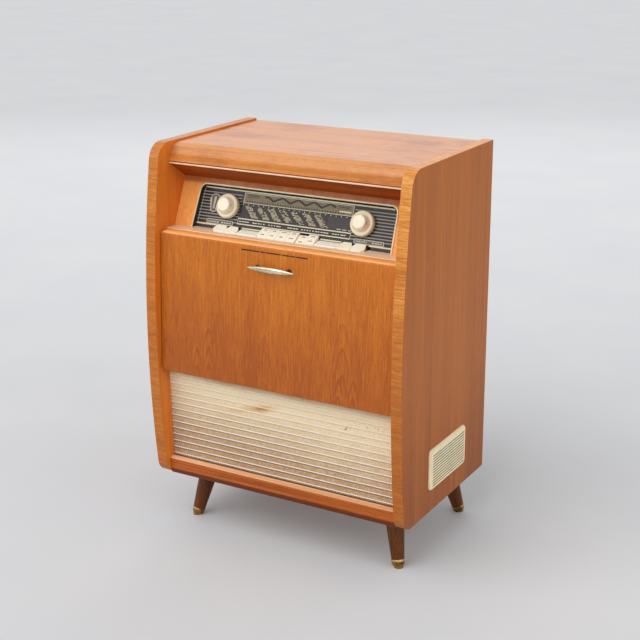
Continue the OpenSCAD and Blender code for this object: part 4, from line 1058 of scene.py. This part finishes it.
def dial_prints():
    """The dial's printed marks, in mm across from its middle and up its slope."""
    rng = random.Random(5)
    gold = Prints("dial_gold_panel", gold_print, 0.14)
    gold.bar(-117, 60.2, 120.6, 79.2)
    gold.done()

    cream_lines = Prints("dial_cream_lines", cream_print, 0.26)
    cream_lines.frame(-117, 60, 121, 79.4, 1.0, 0.6)
    cream_lines.bar(-209, 80.9, 204, 83.5)
    for s in (28.6, 18.0):
        cream_lines.bar(-121.5, s - 1.0, 124.5, s + 1.0)
    for x in (-121.5, 123.7):
        cream_lines.bar(x, 19, x + 0.8, 27.6)
    for x0, x1 in ((-214, -166), (166, 214), (-109, -64), (64, 109)):
        cream_lines.bar(x0, 8.8, x1, 11.6)
    cream_lines.bar(92, 65.0, 117, 67.6)
    cream_lines.done()

    edge_lines = Prints("dial_edge_lines", window_print, 0.2)
    for side in (-1, 1):
        x0, x1 = side * 211.4, side * 208.8
        outline = [(x0, 12), (x0 + side * 1.1, 12), (x1 + side * 1.1, 80), (x1, 80)]
        edge_lines.shape(outline if side < 0 else outline[::-1])
    edge_lines.done()

    dark = Prints("dial_dark_lines", dark_print, 0.24)
    peaks = [(-71, 75.8), (-62, 75.0), (-52, 68.8)]
    for k in range(4):
        peaks += [(-32 + 34.4 * k, 77.8), (-15 + 34.4 * k, 68.8)]
    dark.stroke(peaks[:-1] + [(84, 72.8)], 3.8)
    for i in range(38):
        dark.disc(-109 + 5.7 * i, 63.1, 1.75)
    for x0, x1 in ((-110, -84), (88, 114)):
        dark.frame(x0, 71.2, x1, 77.2, 0.8, 1.6)
        for i in range(4):
            left = x0 + 3 + i * 5.4
            dark.bar(left, 73.2, left + 3.8, 75.4)
    dark.done()

    white = Prints("dial_white_marks", white_print, 0.28)
    for i in range(22):
        white.disc(-116 + 11.3 * i, 56.7, 0.9)
    for i in range(40):
        left = -118 + 6.0 * i
        if rng.random() < 0.8:
            white.bar(left, 22.4, left + rng.uniform(2.4, 5.2), 24.0)
    for i in range(10):
        left = 94 + 3 * i
        if i % 4 != 3:
            white.bar(left, 32.0, left + 1.9, 33.8)
    white.done()

    marks = Prints("dial_station_marks", mark_print, 0.18)
    for block in range(7):
        for row in range(12):
            s = 53.6 - 1.85 * row
            left = -113 + 25.4 * block + 1.75 * row
            fill = rng.uniform(0.0, 2.0)
            while fill < 15.0:
                length = rng.uniform(1.6, 5.0)
                if rng.random() < 0.74:
                    marks.bar(left + fill, s - 0.84, left + min(fill + length, 16.5), s + 0.78)
                fill += length + rng.uniform(0.2, 0.8)
    marks.done()

    grey = Prints("dial_grey_field", grey_print, 0.1)
    grey.bar(72, 33.0, 119, 54.6)
    grey.done()

    windows = Prints("dial_windows", window_print, 0.24)
    eye_x, eye_head, eye_foot = -182.2, 61.5, 39
    eye = []
    for i in range(13):
        angle = math.pi * i / 12
        eye.append((eye_x + 9.6 * math.cos(angle), eye_head + 8.5 * math.sin(angle)))
    eye += [(eye_x - 9.6, eye_head), (eye_x - 6, eye_foot)]
    for i in range(9):
        angle = math.pi + math.pi * i / 8
        eye.append((eye_x + 6.0 * math.cos(angle), eye_foot + 4 * math.sin(angle)))
    eye += [(eye_x + 6, eye_foot), (eye_x + 9.6, eye_head)]
    windows.stroke(eye, 1.8)
    boxes = ((-191, -132, 12.0, 20.4), (134, 194.5, 12.0, 19.8))
    for x0, x1, s0, s1 in boxes:
        windows.frame(x0, s0, x1, s1, 1.7, 1.4)
    windows.done()

    screens = Prints("dial_window_screens", screen_print, 0.16)
    screens.shape(eye[::-1][1:])
    for x0, x1, s0, s1 in boxes:
        screens.bar(x0 + 0.6, s0 + 0.6, x1 - 0.6, s1 - 0.6)
    screens.done()

    bars = Prints("dial_window_bars", window_print, 0.3)
    bars.shape([(-184.2, 41), (-180.4, 41), (-179.2, 64), (-181.8, 66.5), (-184.6, 64)])
    for x0, x1, s0, s1 in boxes:
        left = x0 + 3.5
        while left < x1 - 7:
            length = rng.uniform(2.2, 5.2)
            if abs(left + length / 2 - (x0 + x1) / 2) > 4:
                bars.bar(left, s0 + 2.6, left + length, s0 + 5.4)
            left += length + rng.uniform(0.9, 1.6)
    bars.done()


dial_prints()


# ---------- knobs ----------

def knob(side, inner, name):
    """A turned knob; depth is measured from the dial board's face into the cabinet."""
    def place(across, depth, up):
        return on_dial(side * KNOB_X + across, depth, KNOB_S + up)

    if inner:
        front, back, radius = -16.3, -2.3, 16.0
        profile = [(0, front), (5, front + 0.02), (9.4, front + 0.25)]
        profile += arc((10.5, front + 3.9), 3.5, -85, -12, 10)
        profile += [(14.9, back - 4), (15.7, back - 1.4), (radius, back - 0.8), (radius, back), (9, back),
                    (3, back), (3, 28), (0, 28)]
        material = knob_cream
    else:
        front, back, radius = -3.5, 6.5, 24.0
        profile = [(3.1, front + 1.5), (16.8, front + 1.5), (17.4, front + 1.3)]
        profile += arc((18.6, front + 1.0), 1.0, 170, 270, 6)
        profile += [(20.4, front + 0.12)]
        profile += arc((20.6, front + 3.4), 3.3, -88, 0, 9)
        profile += [(radius, back - 0.8), (radius - 0.8, back), (5, back), (5, 26), (3.1, 26)]
        material = ring_cream
    turned_piece(name + "_knob_turned", profile, place, name + "_control", material,
                 [name + "_knob"])


def grub_screw(side, name):
    """The sunk screw in an inner knob's side."""
    def place(across, depth, up):
        return on_dial(side * KNOB_X + 14.45 - depth, -9.3 + across, KNOB_S + up)
    profile = [(0, 0.05), (0.5, 0.05), (0.6, -0.02), (1.6, -0.02), (1.8, 0.3)]
    turned_piece(name + "_knob_screw", profile, place, name + "_control", dark_plastic_and_shade,
                 steps=24)


for side, outer, inner in ((-1, "bass", "volume"), (1, "treble", "tuning")):
    knob(side, False, outer)
    knob(side, True, inner)
for side, inner in ((-1, "volume"), (1, "tuning")):
    grub_screw(side, inner)


# ---------- keys ----------

key_nodes = ["band_key_%d" % k for k in range(1, 7)] + [
    "tone_key_left_outer", "tone_key_left_inner", "tone_key_right_inner", "tone_key_right_outer"]
for node in key_nodes:
    softened(node, key_cream, 0.45, 2, sharp=20,
             narrow=None if node.startswith("band") else (-113.3, -104.6, 5.5 if "inner" in node else 3.0))


def key_marks():
    """Small plain dashes on both facets of the middle keys, tipped with the key that is down."""
    foot, crease, back = (-124.0, 625.0), (-112.3, 631.96), (-100.65, 637.0)
    pivot, held = Vector(KEY_PIVOT), Matrix.Rotation(math.radians(KEY_TRAVEL), 3, "X")
    rng = random.Random(9)
    for key in range(1, 7):
        middle = (key - 3.5) * KEY_PITCH
        points, faces = [], []
        for (y0, z0), (y1, z1) in ((foot, crease), (crease, back)):
            up = Vector((0, z0 - z1, y1 - y0)).normalized()
            left = middle - rng.uniform(3.2, 5.2)
            while left < middle + 3.0:
                right = left + rng.uniform(1.4, 2.6)
                for x, share in ((left, 0.4), (right, 0.4), (right, 0.6), (left, 0.6)):
                    point = Vector((x, y0 + (y1 - y0) * share, z0 + (z1 - z0) * share)) + up * 0.12
                    if key == KEY_DOWN:
                        point = pivot + held @ (point - pivot)
                    points.append(point * MM)
                faces.append(tuple(range(len(points) - 4, len(points))))
                left = right + rng.uniform(0.5, 0.9)
        node = "band_key_%d" % key
        new_piece(node + "_marks", mesh_of(node + "_marks", points, faces), nodes[node]["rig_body"],
                  key_print)


key_marks()


# ---------- record player ----------

def platter_mat():
    """Rubber mat with rings of ridges."""
    def place(across, up, along):
        return Vector((PLATTER_X + across, PLATTER_Y + along, up)) * MM

    foot, groove, valley, crest, edge = 451.05, 453.2, 453.5, 454.0, 123.4
    profile = [(7.6, foot), (7.6, 453.3), (8.3, crest), (22, crest), (23, groove), (26, groove),
               (27, crest)]
    radius = 30.0
    while radius < 118:
        for _ in range(6):
            profile += [(radius, valley), (radius + 0.7, crest), (radius + 1.4, crest),
                        (radius + 2.1, valley)]
            radius += 2.4
        profile += [(radius + 0.4, 453.9), (radius + 5.0, 453.9)]
        radius += 6.0
    profile = [point for point in profile if point[0] < 121.5]
    profile += [(122, 453.8), (123.0, groove), (edge, 452.2), (edge, foot)]
    turned_piece("platter_mat_ridged", profile, place, "turntable", rubber,
                 ["platter_mat"], 144)


platter_mat()
softened("platter", platter_paint, 0.6)
softened("deck_plate", deck_plastic, 0.7)
softened("tonearm", arm_plastic, 0.9, 3)
softened("tonearm_base", deck_plastic, 0.5)
softened("speed_knob", arm_plastic, 0.6)


# ---------- camera, light and floor ----------

def camera():
    """The photograph's own view, from a fit to the cabinet's straight edges."""
    yaw, pitch, roll = 0.526932233, 0.312896116, -0.00575119623
    right = Vector((math.cos(yaw), math.sin(yaw), 0))
    ahead = Vector((-math.sin(yaw) * math.cos(pitch), math.cos(yaw) * math.cos(pitch), -math.sin(pitch)))
    up = right.cross(ahead)
    across = math.cos(roll) * right + math.sin(roll) * up
    upward = -math.sin(roll) * right + math.cos(roll) * up
    data = bpy.data.cameras.new("camera")
    data.sensor_width, data.lens = 36.0, 74.757
    data.clip_start, data.clip_end = 0.05, 100.0
    holder = placed("camera", data)
    turn = Matrix((across, upward, -ahead)).transposed().to_4x4()
    holder.matrix_world = Matrix.Translation((1.26110, -2.16185, 1.24400)) @ turn
    bpy.context.scene.camera = holder


def lamp(name, place, aim, strength, degrees=None, sides=None):
    """A sun of some degrees across, or a lamp with sides in metres, that shines from place to aim."""
    data = bpy.data.lights.new(name, "AREA" if sides else "SUN")
    data.energy = strength
    if sides:
        data.shape, data.size, data.size_y = "RECTANGLE", *sides
    else:
        data.angle = math.radians(degrees)
    holder = placed(name, data)
    holder.location = place
    holder.rotation_mode = "QUATERNION"
    holder.rotation_quaternion = (Vector(aim) - Vector(place)).to_track_quat("-Z", "Y")


def floor():
    material, n, shader = new_material("pale floor")
    place = n.place()
    cloud = n.noise(place, 2.4, 3, 0.55)
    n.feed(shader, {
        "Base Color": n.mix(n.span(cloud, 0.3, 0.7), colour(211, 213, 217), (216, 217, 220)),
        "Roughness": n.span(n.noise(place, 30.0, 3), 0.3, 0.7, 0.75, 0.9),
        "Specular IOR Level": 0.1})
    mesh = mesh_of("pale_floor", [(-30, -30, 0), (30, -30, 0), (30, 30, 0), (-30, 30, 0)], [(0, 1, 2, 3)])
    mesh.materials.append(material)
    piece = placed("pale_floor", mesh)


def surroundings():
    """An even pale room: plain light for surfaces, the pale backdrop for the eye and for reflections."""
    world = bpy.data.worlds.new("pale room")
    bpy.context.scene.world = world
    world.use_nodes = True
    world.node_tree.nodes.clear()
    n = Nodes(world.node_tree)
    path = n.read(n.add("ShaderNodeLightPath"))
    seen = n.math("MAXIMUM", path["Is Camera Ray"], path["Is Glossy Ray"])
    seen = n.math("MAXIMUM", seen, path["Is Transmission Ray"])
    even = n.make("ShaderNodeBackground", 0, {"Color": (1.0, 0.99, 0.975, 1.0), "Strength": 0.6})
    shown = n.make("ShaderNodeBackground", 0, {"Color": colour(214, 216, 219), "Strength": 1.0})
    both = n.make("ShaderNodeMixShader", 0, {0: seen, 1: even, 2: shown})
    n.add("ShaderNodeOutputWorld", {"Surface": both})


camera()
floor()
surroundings()
lamp("main light", (-1.3, -3.4, 3.5), (0, 0, 0.4), 1.6, degrees=65)
lamp("right light", (3.4, -1.2, 2.2), (0, 0, 0.4), 0.45, degrees=60)
lamp("rear sheen", (-2.3, 3.9, 2.5), (0, 0.1, 0.75), 26, sides=(4.2, 1.8))
bpy.context.scene.view_settings.view_transform = "Standard"
